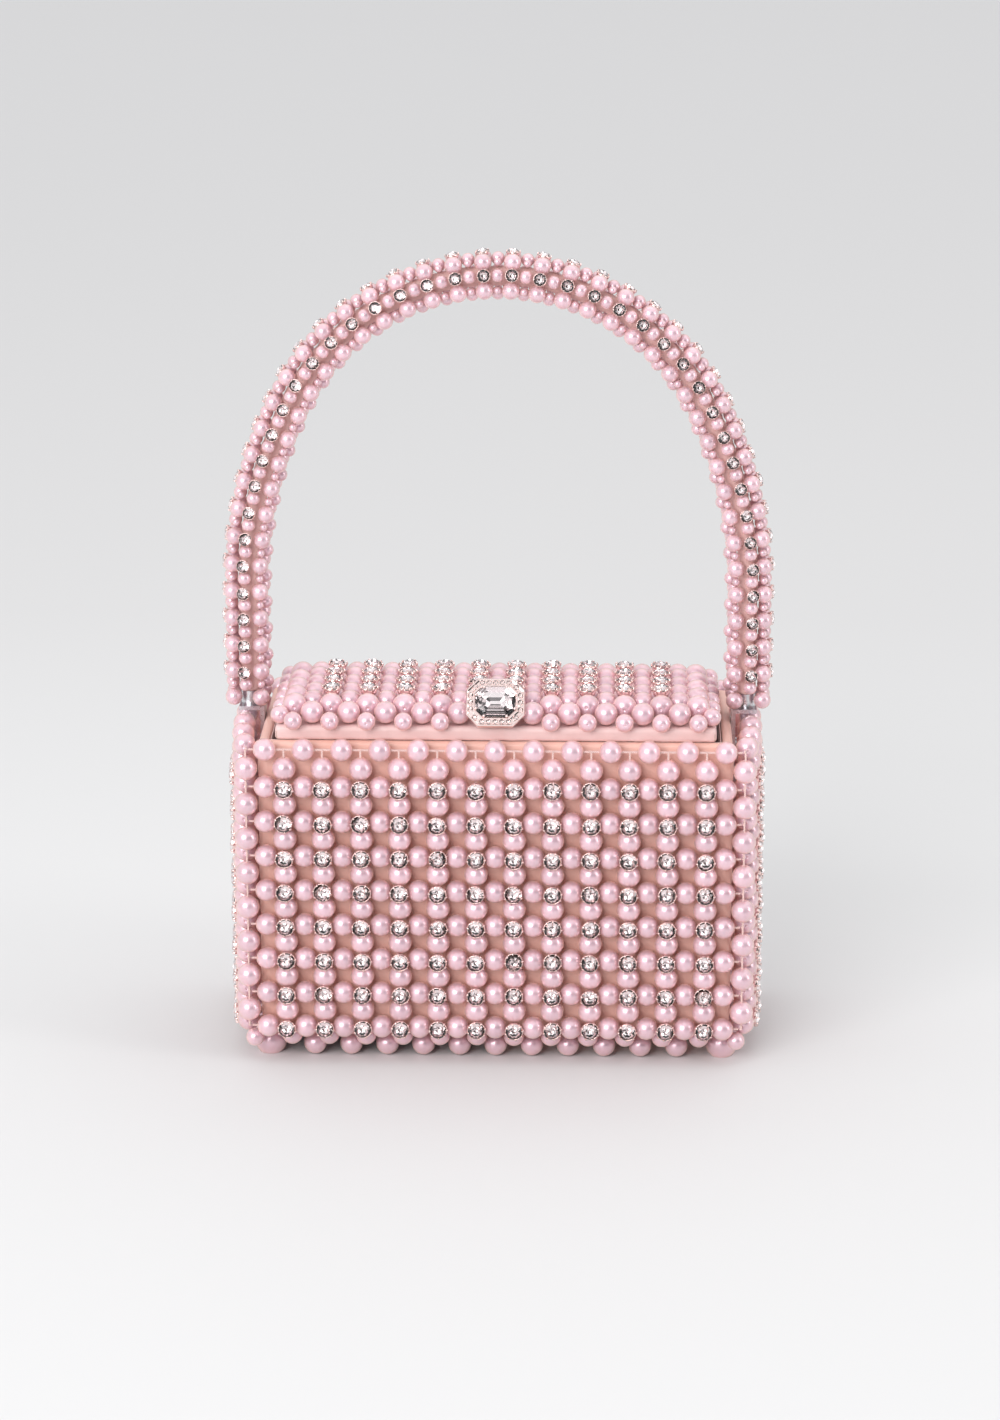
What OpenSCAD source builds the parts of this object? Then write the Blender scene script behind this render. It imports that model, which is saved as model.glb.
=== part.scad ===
// Flower girl basket: a satin box bag covered with a pearl net, with a hinged lid and an arched handle.
// Millimetres, +Z up. The origin is on the ground, under the middle of the box.

/* [Box] */
// Width between the corner pearl columns, centre to centre
case_w = 174.5; // [145:0.5:212]
// Depth between the corner pearl columns, centre to centre
case_d = 80.4; // [66:0.2:98]
// Height of the rim pearls' centres above the ground
rim_h = 115.6; // [96:0.2:140]
// Thickness of the stiff wall boards
board_t = 3; // [2:0.1:4]
// Thickness of the floor board
floor_t = 4; // [3:0.1:5]
// Thickness of the satin skin outside the boards
cover_t = 0.5; // [0.3:0.05:0.8]
// Thickness of the satin lining inside the boards
lining_t = 0.6; // [0.4:0.05:0.9]

/* [Pearl net] */
// Diameter of a large pearl
pearl_d = 8.4; // [7:0.1:9.6]
// Diameter of the pearls that lie across, slightly smaller than the upright ones
cross_pearl_d = 8.1; // [6.7:0.1:9]
// Diameter of the pearls that tuck under the front and back edges
tuck_pearl_d = 7.4; // [6.2:0.1:7.6]
// Free space that a crystal takes between two pearls in a row
stone_space = 5; // [4.2:0.1:6]
// Free space that a crystal takes between two pearls in a column
stone_space_up = 4.3; // [3.8:0.1:5.2]
// Height from the top crystal row to the rim pearls
rim_gap = 13.5; // [12:0.1:15]
// Height from the ground pearls to the lowest crystal row
bottom_drop = 9.2; // [8.8:0.1:10.8]
// How far the ground pearls are drawn in at the front and back
front_setback = 8.3; // [7:0.1:9.6]
// How far the ground pearls are drawn in at the sides
side_setback = 3.4; // [3:0.1:4.2]
// How far the side nets bulge at the handle
side_bulge = 3.2; // [2.7:0.1:3.9]
// Diameter of the spacer pearls under the side nets
spacer_d = 3.6; // [3:0.1:4]
// Width of the flat beading thread
thread_w = 0.6; // [0.5:0.05:0.8]

/* [Crystals] */
// Diameter of the metal cup of a crystal on the box
cup_d = 6.6; // [5.5:0.1:7.2]
// Diameter of the metal cup of a crystal on the handle
handle_cup_d = 4.8; // [4:0.1:5.4]

/* [Lid] */
// Gap between the lid's side and the lining
lid_side_gap = 1.65; // [1.3:0.05:2]
// Gap under the closed lid
lid_rest_gap = 0.3; // [0.2:0.05:0.5]
// How far the lid's front stays back from the front skin
lid_front_inset = 1.7; // [1.4:0.1:2]
// Thickness of the lid board
lid_board_t = 4; // [3.4:0.1:4.8]
// Thickness of the wadding on the lid board
pad_t = 1.2; // [1:0.1:1.5]
// Distance from the lid's side edge to its outer pearl columns
lid_net_margin = 6.5; // [5.6:0.1:7.8]
// Depth of the plain satin flap behind the lid's last pearl row
flap_d = 10.7; // [9:0.1:12.8]
// Diameter of the small trim pearls
trim_pearl_d = 6.5; // [5.5:0.1:7]

/* [Hinges] */
// Width of one hinge
hinge_w = 24; // [20:0.5:29]
// Distance of a hinge from the middle
hinge_x = 45; // [38:0.5:54]
// Diameter of the hinge barrel
barrel_d = 4; // [3.4:0.1:4.4]
// Diameter of the hinge pin
hinge_pin_d = 1.6; // [1.4:0.1:1.9]
// Thickness of a hinge leaf
leaf_t = 0.8; // [0.7:0.05:1]
// Height of the leaf on the back wall, and depth of the one under the lid
leaf_l = 14; // [12:0.5:17]

/* [Clasp] */
// Width of the clasp jewel
jewel_w = 20.5; // [17.5:0.5:24]
// Height of the clasp jewel
jewel_h = 17.5; // [15:0.5:20]
// How far the jewel leans back from upright
jewel_tilt = 35; // [30:1:42]
// Width of the hidden magnets
magnet_w = 14; // [12:0.5:17]

/* [Handle] */
// Height of the handle's centre line above the rim pearls
handle_rise = 160.4; // [134:0.2:193]
// How far a handle leg stands outside the corner pearl column
leg_out = 1.25; // [1:0.05:1.5]
// Radius of the handle's shoulders
shoulder_r = 145; // [121:1:174]
// Angle of the round top arc on each side
top_arc = 62; // [57:1:68]
// Radius of the satin sleeve that the beads lie on
sleeve_r = 3.6; // [3:0.1:3.8]
// Radius of the steel core wire
wire_r = 1.5; // [1.3:0.1:1.8]
// Distance between the handle's bead rings
ring_pitch = 9.65; // [9.2:0.05:11.5]
// Diameter of the ring pearls
ring_pearl_d = 6.2; // [5.2:0.1:6.4]
// Diameter of the pearls between the rings
line_pearl_d = 4.8; // [4:0.1:5]
// Diameter of the seed pearls in the net's cells
seed_d = 2.8; // [2.3:0.1:3]
// How far the front and back bead lines turn outward
line_turn = 10; // [0:1:12]
// Rings at each foot of the handle that have no crystals
plain_rings = 1; // [1:1:4]
// Thickness of the steel anchor plates
anchor_t = 1.5; // [1.2:0.1:1.8]
// Depth of the steel anchor plates
anchor_w = 12; // [10:0.5:14.5]

/* [Hidden] */

pearl_color = "#e9c3c8";
satin_color = "#e8bdb4";
metal_color = "#d8b9ae";
crystal_color = "#f4eef2";
steel_color = "#b9bcc0";
board_color = "#cbb79b";

net_gap = 0.1;                 // air between a pearl and the satin
fit_gap = 0.05;                // clearance of hard parts in their seats
pearl_r = pearl_d / 2;
far = 400;                     // longer than the whole object

// The satin skin's outer faces and levels
skin_x = case_w / 2 - pearl_r;
skin_y = case_d / 2 - pearl_r;
skin_z = pearl_d + net_gap;
wall_top = rim_h + 1.7;
inner_x = skin_x - cover_t - board_t;
inner_y = skin_y - cover_t - board_t;
floor_z = skin_z + cover_t + floor_t;
first_row_z = pearl_r + bottom_drop;
tuck_z = (first_row_z + pearl_r) / 2;
spacer_drop = 0.5;             // how much lower the small pearls of that row lie
corner_setback = 0.24 * front_setback;

// The net's columns and rows
cells_x = round(case_w / (pearl_d + stone_space));
cells_y = round(case_d / (pearl_d + stone_space));
row_steps = round((rim_h - rim_gap - first_row_z) / (pearl_d + stone_space_up));
pitch_x = case_w / cells_x;
pitch_y = case_d / cells_y;
row_pitch = (rim_h - rim_gap - first_row_z) / row_steps;
cross_sink = (pearl_d - cross_pearl_d) / 2;
cup_rise = thread_w + 0.1;       // a crystal's foot above the pearls' middle plane
row_levels = [for (r = [0:row_steps]) first_row_z + r * row_pitch];
levels = concat(row_levels, [rim_h]);

function column_x(i) = i * pitch_x - case_w / 2;
function column_y(j) = j * pitch_y - case_d / 2;
function bulge(y) = side_bulge * (1 - pow(2 * y / case_d, 2));
function squeeze(half, setback) = (half - setback) / half;

// The lid's faces, levels and net
lid_x = inner_x - lining_t - lid_side_gap;
lid_front = skin_y - lid_front_inset;
lid_z = wall_top + lid_rest_gap;
lid_top = lid_z + lid_board_t + 2 * cover_t;
pad_top = lid_top + pad_t;
lid_edge_cut = 1.5;
hinge_y = skin_y - 1;
hinge_z = lid_z + barrel_d / 2 + 0.2;
lid_back = hinge_y - barrel_d / 2 - 1.7;
lid_row_front = -(lid_front - 3.3);
lid_row_back = lid_back - flap_d;
lid_net_x = lid_x - lid_net_margin;
lid_cells_x = round(2 * lid_net_x / (pearl_d + stone_space - 0.5));
lid_rows = max(2, floor((lid_row_back - lid_row_front) / (pearl_d + 1.7)));
lid_pitch_x = 2 * lid_net_x / lid_cells_x;
lid_pitch_y = (lid_row_back - lid_row_front) / lid_rows;
lid_edge_z = lid_top + pearl_r + net_gap;
lid_mid_z = pad_top + pearl_r + net_gap;
lid_cup_rise = max(cup_rise, wedge_height(pearl_r, lid_pitch_y / 2, cup_d));
pad_x = lid_net_x + 1.5;
pad_front = lid_row_front + 3;
pad_back = lid_row_back - 2.8;
trim_r = trim_pearl_d / 2;
trim_front_y = -lid_front - 1.5;
trim_front_z = lid_top + trim_r - 0.95;
trim_side_x = lid_x - 1.6;
trim_side_z = lid_top + trim_r + fit_gap;

// Height of a cup's foot over the middle of two pearls that it stands between, each at
// the given distance to its side.
function wedge_height(ball_r, aside, d) =
    let (reach = aside - 0.65 * d / 2)
    sqrt(max(0, ball_r * ball_r - reach * reach)) - 0.375 * d / 2 + 0.15;

function lid_column(i) = i * lid_pitch_x - lid_net_x;
function lid_row(r) = lid_row_front + r * lid_pitch_y;
function under_jewel(x) = abs(x) < jewel_w / 2 - 1;

// The clasp jewel's middle, on the lid's front edge
jewel_y = -lid_front + 2;
jewel_z = lid_top + 7.6;
jewel_cut = 4.2;               // corner cut of its octagon
plate_t = 0.8;
setting_t = 2.2;
stone_w = jewel_w - 6.5;
stone_h = jewel_h - 6.5;
stone_cut = 2.8;
pave_d = 1.7;
stem_w = 6;
stem_t = 3;
stem_y = jewel_y + 2;          // middle of the stem that holds the jewel from behind
stem_sink = 0.8;               // how deep the stem sits in the lid board

// Magnets: one in the front board and one in the lid's front edge
case_magnet_y = -inner_y - board_t / 2;
lid_magnet_y = -lid_front + 2.4;
magnet_t = 2;
magnet_h = 3;

// The handle's centre line: straight legs, wide shoulders and a round top
handle_x = case_w / 2 + leg_out;
handle_top = rim_h + handle_rise;
top_r = (handle_x - shoulder_r * (1 - sin(top_arc))) / sin(top_arc);
top_cz = handle_top - top_r;
join_z = top_cz + top_r * cos(top_arc);
spring_z = join_z - shoulder_r * cos(top_arc);
anchor_z = rim_h + cross_pearl_d / 2 + 0.4;
boss_h = 5;
sleeve_z = anchor_z + anchor_t + boss_h;
leg_l = spring_z - sleeve_z;
shoulder_l = shoulder_r * (90 - top_arc) * PI / 180;
top_l = top_r * top_arc * PI / 180;
half_l = leg_l + shoulder_l + top_l;
ring_half = half_l + boss_h - ring_pearl_d / 2 - net_gap;
rings = round(2 * ring_half / ring_pitch) + 1;
ring_pearl_r = sleeve_r + ring_pearl_d / 2 + net_gap + 0.2;
line_pearl_r = sleeve_r + line_pearl_d / 2 + net_gap;
outer_turn = 45 - line_turn * sin(45);    // from the outer line to the ring pearls beside it
handle_cup_base = max(sleeve_r + 0.5, ring_pearl_r * cos(outer_turn)
    + wedge_height(ring_pearl_d / 2, ring_pearl_r * sin(outer_turn), handle_cup_d));

// Point and slope of the centre line, s along it from the top (positive to the right).
// Each gives [x, z, angle from level], in degrees.
function arch(s) = s < 0 ? mirrored(arch_right(-s)) : arch_right(s);
function mirrored(p) = [-p[0], p[1], -p[2]];
function arch_right(s) =
    s <= top_l ? on_top(s / top_r * 180 / PI) :
    s <= top_l + shoulder_l ? on_shoulder(top_arc + (s - top_l) / shoulder_r * 180 / PI) :
    [handle_x, spring_z - (s - top_l - shoulder_l), 90];
function on_top(a) = [top_r * sin(a), top_cz + top_r * cos(a), a];
function on_shoulder(a) =
    [handle_x - shoulder_r * (1 - sin(a)), spring_z + shoulder_r * cos(a), a];
function ring_s(k) = (2 * k / (rings - 1) - 1) * ring_half;

// ---- shared shapes ----

module pearl(d) { sphere(d = d, $fn = 32); }

// Outline of the box in one direction: upright walls and a sloping tuck at the bottom edges.
module box_outline(half, setback, inset, top) {
    slope = half - setback / 2 - tuck_z - sqrt(2) * (pearl_r + net_gap + inset);
    wall = half - pearl_r - inset;
    low = skin_z + inset;
    polygon([
        [-wall, top], [-wall, wall - slope], [-(low + slope), low],
        [low + slope, low], [wall, wall - slope], [wall, top]
    ]);
}

module case_block(inset, top) {
    intersection() {
        rotate([90, 0, 90]) linear_extrude(far, center = true)
            box_outline(case_d / 2, front_setback, inset, top);
        rotate([90, 0, 0]) linear_extrude(far, center = true)
            box_outline(case_w / 2, side_setback, inset, top);
    }
}

module boards_block() { case_block(cover_t, wall_top - cover_t); }

module block(low, high) { translate(low) cube(high - low); }

// A brilliant in a metal cup: the cup opens along +Z and its foot is at z = 0.
module cup(d) {
    r = d / 2;
    rotate_extrude($fn = 32) polygon([
        [0, 0], [0.3 * r, 0], [r, 0.75 * r], [r, 1.18 * r], [0.86 * r, 1.18 * r],
        [0.86 * r, 0.82 * r], [0.26 * r, 0.22 * r], [0, 0.22 * r]
    ]);
}

module brilliant(d) {
    r = d / 2;
    rotate_extrude($fn = 32) polygon([
        [0, 0.26 * r], [0.12 * r, 0.26 * r], [0.82 * r, 0.86 * r], [0.82 * r, 1.1 * r],
        [0.46 * r, 1.42 * r], [0, 1.42 * r]
    ]);
}

// ---- the case's boards and skins ----

module front_board() {
    color(board_color) difference() {
        intersection() {
            boards_block();
            block([-far, -far, 0], [far, -inner_y, far]);
        }
        case_magnet_block(fit_gap);
    }
}

module back_board() {
    color(board_color) difference() {
        intersection() {
            boards_block();
            block([-far, inner_y, 0], [far, far, far]);
        }
        for (side = [-1, 1]) {
            case_leaf_seat(side);
            case_rivet_places(side) cylinder(d = rivet_d, h = case_rivet_l - leaf_t, $fn = 24);
        }
    }
}

module side_board(side) {
    color(board_color) difference() {
        intersection() {
            boards_block();
            block([side > 0 ? inner_x : -far, -inner_y, 0], [side > 0 ? far : -inner_x, inner_y, far]);
        }
        anchor_rivet_places(side) cylinder(d = anchor_hole_d, h = 10, center = true, $fn = 32);
    }
}

module left_board() { side_board(-1); }

module right_board() { side_board(1); }

module bottom_board() {
    color(board_color) intersection() {
        boards_block();
        block([-inner_x, -inner_y, 0], [inner_x, inner_y, floor_z]);
    }
}

module satin_cover() {
    color(satin_color) difference() {
        case_block(0, wall_top);
        boards_block();
        block([-inner_x, -inner_y, floor_z], [inner_x, inner_y, far]);
        for (side = [-1, 1]) {
            case_leaf_seat(side);
            anchor_rivet_places(side) cylinder(d = anchor_hole_d, h = 10, center = true, $fn = 32);
        }
    }
}

module lining() {
    color(satin_color) difference() {
        block([-inner_x, -inner_y, floor_z], [inner_x, inner_y, wall_top]);
        block([lining_t - inner_x, lining_t - inner_y, floor_z + lining_t],
              [inner_x - lining_t, inner_y - lining_t, far]);
    }
}

// ---- the case's pearl net ----

// Upright pearls stand between two rows, and the lowest ones tuck under the edge.
function rise_mid(r) = (levels[r] + levels[r + 1]) / 2;

module wall_pearls(side) {
    color(pearl_color) {
        for (i = [0:cells_x - 1], z = levels)
            translate([column_x(i + 0.5), side * (case_d / 2 - cross_sink), z]) pearl(cross_pearl_d);
        for (i = [1:cells_x - 1], r = [0:row_steps])
            translate([column_x(i), side * case_d / 2, rise_mid(r)]) pearl(pearl_d);
        for (i = [1:cells_x - 1])
            translate([
                column_x(i) * squeeze(case_w / 2, side_setback / 2),
                side * (case_d - front_setback) / 2, tuck_z
            ]) pearl(tuck_pearl_d);
    }
}

module front_pearls() { wall_pearls(-1); }

module back_pearls() { wall_pearls(1); }

module side_pearls(side) {
    color(pearl_color) {
        for (j = [0:cells_y - 1], z = levels) {
            y = column_y(j + 0.5);
            translate([side * (case_w / 2 - cross_sink + bulge(y)), y, z]) pearl(cross_pearl_d);
        }
        for (j = [1:cells_y - 1], r = [0:row_steps]) {
            y = column_y(j);
            translate([side * (case_w / 2 + bulge(y)), y, rise_mid(r)]) pearl(pearl_d);
        }
        for (j = [1:cells_y - 1]) {
            y = column_y(j) * squeeze(case_d / 2, front_setback);
            translate([side * ((case_w - side_setback) / 2 + bulge(y) / 2), y, tuck_z - spacer_drop])
                pearl(spacer_d);
        }
    }
}

module left_pearls() { side_pearls(-1); }

module right_pearls() { side_pearls(1); }

module corner_pearls() {
    color(pearl_color) for (sx = [-1, 1], sy = [-1, 1]) {
        for (r = [0:row_steps])
            translate([sx * case_w / 2, sy * case_d / 2, rise_mid(r)]) pearl(pearl_d);
        translate([
            sx * (case_w - side_setback) / 2, sy * (case_d / 2 - corner_setback), tuck_z - spacer_drop
        ]) pearl(trim_pearl_d);
    }
}

// The ring of pearls that the bag stands on.
module ground_pearls() {
    ground_x = squeeze(case_w / 2, side_setback);
    ground_y = squeeze(case_d / 2, front_setback);
    color(pearl_color) {
        for (i = [0:cells_x - 1], side = [-1, 1])
            translate([column_x(i + 0.5) * ground_x, side * case_d / 2 * ground_y, pearl_r])
                pearl(pearl_d);
        for (j = [0:cells_y - 1], side = [-1, 1])
            translate([side * case_w / 2 * ground_x, column_y(j + 0.5) * ground_y, pearl_r])
                pearl(pearl_d);
    }
}

// Places a crystal at every inner node of a wall, facing outward.
module wall_nodes(side) {
    for (i = [1:cells_x - 1], z = row_levels)
        translate([column_x(i), side * (case_d / 2 + cup_rise), z]) rotate([-side * 90, 0, 0]) children();
}

module side_nodes(side) {
    for (j = [1:cells_y - 1], z = row_levels)
        translate([side * (case_w / 2 + bulge(column_y(j)) + cup_rise), column_y(j), z])
            rotate([0, side * 90, 0]) children();
}

module front_cups() { color(metal_color) wall_nodes(-1) cup(cup_d); }

module front_crystals() { color(crystal_color) wall_nodes(-1) brilliant(cup_d); }

module back_cups() { color(metal_color) wall_nodes(1) cup(cup_d); }

module back_crystals() { color(crystal_color) wall_nodes(1) brilliant(cup_d); }

module side_cups() { color(metal_color) for (side = [-1, 1]) side_nodes(side) cup(cup_d); }

module side_crystals() { color(crystal_color) for (side = [-1, 1]) side_nodes(side) brilliant(cup_d); }

// Threads run through the pearls: the level ones behind the upright ones, so that they cross freely.
thread_step = thread_w / 2 + 0.03;

module upright_thread(x, y, low, high) {
    block([x - thread_w / 2, y - thread_w / 2, low], [x + thread_w / 2, y + thread_w / 2, high]);
}

// A level thread around one side net, following its bulge.
module side_thread(z) {
    places = [for (j = [0:cells_y]) let (y = column_y(j)) [case_w / 2 + bulge(y) - thread_step, y]];
    translate([0, 0, z - thread_w / 2]) linear_extrude(thread_w) polygon(concat(
        [for (p = places) p + [thread_w / 2, 0]],
        [for (j = [cells_y:-1:0]) places[j] - [thread_w / 2, 0]]
    ));
}

module case_thread() {
    color(satin_color) for (side = [-1, 1]) {
        for (z = levels) {
            y = side * (case_d / 2 - thread_step);
            block([-case_w / 2 + 1, y - thread_w / 2, z - thread_w / 2],
                  [case_w / 2 - 1, y + thread_w / 2, z + thread_w / 2]);
            mirror([side < 0 ? 1 : 0, 0, 0]) side_thread(z);
        }
        for (i = [0:cells_x])
            upright_thread(column_x(i), side * (case_d / 2 + thread_step), first_row_z, rim_h);
        for (j = [1:cells_y - 1])
            upright_thread(side * (case_w / 2 + bulge(column_y(j)) + thread_step), column_y(j),
                           first_row_z, rim_h);
    }
}

// ---- the lid ----

// The lid's outer shape, with its top edges cut and the wadding under a raised middle.
module lid_block(inset) {
    edge = lid_edge_cut + 0.41 * inset;
    side = lid_x - inset;
    front = -(lid_front - inset);
    back = lid_back - inset;
    low = lid_z + inset;
    high = lid_top - inset;
    intersection() {
        rotate([90, 0, 90]) linear_extrude(2 * side, center = true)
            polygon([
                [front, low], [front, high - edge], [front + edge, high],
                [back - edge, high], [back, high - edge], [back, low]
            ]);
        rotate([90, 0, 0]) linear_extrude(far, center = true)
            polygon([
                [-side, low], [-side, high - edge], [edge - side, high],
                [side - edge, high], [side, high - edge], [side, low]
            ]);
    }
}

module lid_board() {
    color(board_color) difference() {
        lid_block(cover_t);
        lid_magnet_block(fit_gap);
        clasp_stem(fit_gap);
        for (side = [-1, 1]) {
            lid_leaf_seat(side);
            lid_rivet_places(side) cylinder(d = rivet_d, h = lid_rivet_l, $fn = 24);
        }
    }
}

module pad_block(inset, low) {
    block([inset - pad_x, pad_front + inset, low], [pad_x - inset, pad_back - inset, pad_top - inset]);
}

module lid_padding() { color("#f3efe8") pad_block(cover_t, lid_top - cover_t); }

module lid_cover() {
    color(satin_color) difference() {
        union() {
            lid_block(0);
            pad_block(0, lid_top - cover_t);
        }
        lid_block(cover_t);
        pad_block(cover_t, lid_top - 2 * cover_t);
        clasp_stem(fit_gap);
        for (side = [-1, 1]) lid_leaf_seat(side);
    }
}

module lid_pearls() {
    color(pearl_color) {
        for (i = [0:lid_cells_x - 1], r = [0:lid_rows]) {
            x = lid_column(i + 0.5);
            edge = r == 0 || r == lid_rows;
            z = edge ? lid_edge_z : lid_mid_z - cross_sink;
            if (r > 0 || !under_jewel(x)) translate([x, lid_row(r), z]) pearl(cross_pearl_d);
        }
        for (i = [0:lid_cells_x], r = [0:lid_rows - 1])
            translate([lid_column(i), lid_row(r + 0.5), lid_mid_z]) pearl(pearl_d);
    }
}

module lid_trim_pearls() {
    color(pearl_color) {
        for (i = [0:lid_cells_x]) if (!under_jewel(lid_column(i)))
            translate([lid_column(i), trim_front_y, trim_front_z]) pearl(trim_pearl_d);
        for (r = [0:lid_rows], side = [-1, 1])
            translate([side * trim_side_x, lid_row(r), trim_side_z]) pearl(trim_pearl_d);
    }
}

module lid_nodes() {
    for (i = [1:lid_cells_x - 1], r = [1:lid_rows - 1])
        translate([lid_column(i), lid_row(r), lid_mid_z + lid_cup_rise]) children();
}

module lid_cups() { color(metal_color) lid_nodes() cup(cup_d); }

module lid_crystals() { color(crystal_color) lid_nodes() brilliant(cup_d); }

module lid_thread() {
    color(satin_color) {
        half = thread_w / 2;
        for (r = [1:lid_rows - 1]) {
            z = lid_mid_z - thread_step;
            block([-lid_net_x, lid_row(r) - half, z - half], [lid_net_x, lid_row(r) + half, z + half]);
        }
        for (i = [0:lid_cells_x]) {
            z = lid_mid_z + thread_step;
            block([lid_column(i) - half, lid_row(0.5), z - half],
                  [lid_column(i) + half, lid_row(lid_rows - 0.5), z + half]);
        }
    }
}

// ---- the closure ----

// A magnet's block, or with a gap the pocket that it lies in.
module magnet_block(y, low, high, gap) {
    block([-magnet_w / 2 - gap, y - magnet_t / 2 - gap, low],
          [magnet_w / 2 + gap, y + magnet_t / 2 + gap, high]);
}

module case_magnet_block(gap) {
    top = wall_top - cover_t;
    magnet_block(case_magnet_y, top - magnet_h - gap, top, gap);
}

module lid_magnet_block(gap) {
    low = lid_z + cover_t;
    magnet_block(lid_magnet_y, low, low + magnet_h + gap, gap);
}

module case_magnet() { color(steel_color) case_magnet_block(0); }

module lid_magnet() { color(steel_color) lid_magnet_block(0); }

module octagon(w, h, cut) {
    polygon([
        [-w / 2, cut - h / 2], [cut - w / 2, -h / 2], [w / 2 - cut, -h / 2], [w / 2, cut - h / 2],
        [w / 2, h / 2 - cut], [w / 2 - cut, h / 2], [cut - w / 2, h / 2], [-w / 2, h / 2 - cut]
    ]);
}

// The jewel's own frame: +Z points out of its face.
module at_jewel() { translate([0, jewel_y, jewel_z]) rotate([90 - jewel_tilt, 0, 0]) children(); }

// The stem behind the jewel, from the lid board up; with a gap, the hole that it stands in.
module clasp_stem(gap) {
    block([-stem_w / 2 - gap, stem_y - stem_t / 2 - gap, lid_top - cover_t - stem_sink - gap],
          [stem_w / 2 + gap, stem_y + stem_t / 2 + gap, jewel_z + jewel_h / 2]);
}

module clasp_plate() {
    color(metal_color) {
        at_jewel() linear_extrude(plate_t) octagon(jewel_w - 1, jewel_h - 1, jewel_cut);
        intersection() {
            clasp_stem(0);
            at_jewel() translate([0, 0, plate_t / 2 - far / 2]) cube(far, center = true);
        }
    }
}

module clasp_setting() {
    color(metal_color) at_jewel() translate([0, 0, plate_t]) difference() {
        linear_extrude(setting_t) octagon(jewel_w, jewel_h, jewel_cut);
        translate([0, 0, -1]) linear_extrude(setting_t + 2)
            octagon(stone_w + 2 * fit_gap, stone_h + 2 * fit_gap, stone_cut);
        pave_places() translate([0, 0, setting_t - 0.9]) cylinder(d = pave_d + fit_gap, h = 2, $fn = 24);
    }
}

module clasp_crystal() {
    color(crystal_color) at_jewel() translate([0, 0, plate_t + fit_gap]) {
        linear_extrude(setting_t + 0.4) octagon(stone_w, stone_h, stone_cut);
        translate([0, 0, setting_t + 0.4]) linear_extrude(1.3, scale = 0.62)
            octagon(stone_w, stone_h, stone_cut);
    }
}

// The small stones sit on the middle of the setting's band.
module pave_places() {
    mid_w = (jewel_w + stone_w) / 2;
    mid_h = (jewel_h + stone_h) / 2;
    for (side = [-1, 1]) {
        for (k = [-2:2]) translate([k * mid_w / 7.4, side * mid_h / 2, 0]) children();
        for (k = [-1:1]) translate([side * mid_w / 2, k * mid_h / 5.4, 0]) children();
        for (up = [-1, 1]) translate([side * mid_w / 2 * 0.84, up * mid_h / 2 * 0.8, 0]) children();
    }
}

module clasp_pave() {
    color(crystal_color) at_jewel() translate([0, 0, plate_t]) pave_places()
        translate([0, 0, setting_t - 0.85]) union() {
            cylinder(d = pave_d, h = 0.9, $fn = 24);
            translate([0, 0, 0.9]) cylinder(d1 = pave_d, d2 = 0.9, h = 0.4, $fn = 24);
        }
}

// ---- the hinges ----

knuckle_w = (hinge_w - 0.6) / 3;
rivet_x = hinge_w / 2 - 5;
rivet_d = 1.6;
case_rivet_l = board_t - 0.6;        // ends inside the back board
lid_rivet_l = lid_board_t - leaf_t - 0.8;
leaf_y = skin_y - cover_t;           // outer face of the leaf on the back wall
leaf_z = lid_z + cover_t;            // lower face of the leaf under the lid

module case_leaf_seat(side) {
    block([side * hinge_x - hinge_w / 2 - fit_gap, leaf_y - leaf_t - fit_gap, wall_top - leaf_l - fit_gap],
          [side * hinge_x + hinge_w / 2 + fit_gap, leaf_y, far]);
}

module lid_leaf_seat(side) {
    block([side * hinge_x - hinge_w / 2 - fit_gap, lid_back - leaf_l - fit_gap, leaf_z],
          [side * hinge_x + hinge_w / 2 + fit_gap, far, leaf_z + leaf_t + fit_gap]);
}

// Knuckles are counted along the hinge: 0 and 2 belong to the case, 1 to the lid.
module knuckle(side, n) {
    translate([side * hinge_x - hinge_w / 2 + n * (knuckle_w + 0.3), hinge_y, hinge_z])
        rotate([0, 90, 0]) cylinder(d = barrel_d, h = knuckle_w, $fn = 48);
}

module pin_bore(side) {
    translate([side * hinge_x, hinge_y, hinge_z]) rotate([0, 90, 0])
        cylinder(d = hinge_pin_d + 2 * fit_gap, h = 2 * hinge_w, center = true, $fn = 48);
}

module case_rivet_places(side) {
    for (k = [-1, 1]) translate([side * hinge_x + k * rivet_x, leaf_y - leaf_t, wall_top - leaf_l / 2])
        rotate([90, 0, 0]) children();
}

module lid_rivet_places(side) {
    for (k = [-1, 1]) translate([side * hinge_x + k * rivet_x, lid_back - leaf_l / 2, leaf_z + leaf_t])
        children();
}

module hinge_case_leaves() {
    color(steel_color) for (side = [-1, 1]) difference() {
        union() {
            block([side * hinge_x - hinge_w / 2, leaf_y - leaf_t, wall_top - leaf_l],
                  [side * hinge_x + hinge_w / 2, leaf_y, hinge_z - barrel_d / 2 - 0.3]);
            for (n = [0, 2]) {
                knuckle(side, n);
                low = side * hinge_x - hinge_w / 2 + n * (knuckle_w + 0.3);
                block([low, leaf_y - leaf_t, wall_top - leaf_l], [low + knuckle_w, leaf_y, hinge_z]);
            }
        }
        pin_bore(side);
        case_rivet_places(side) cylinder(d = rivet_d, h = 3 * leaf_t, center = true, $fn = 24);
    }
}

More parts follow.
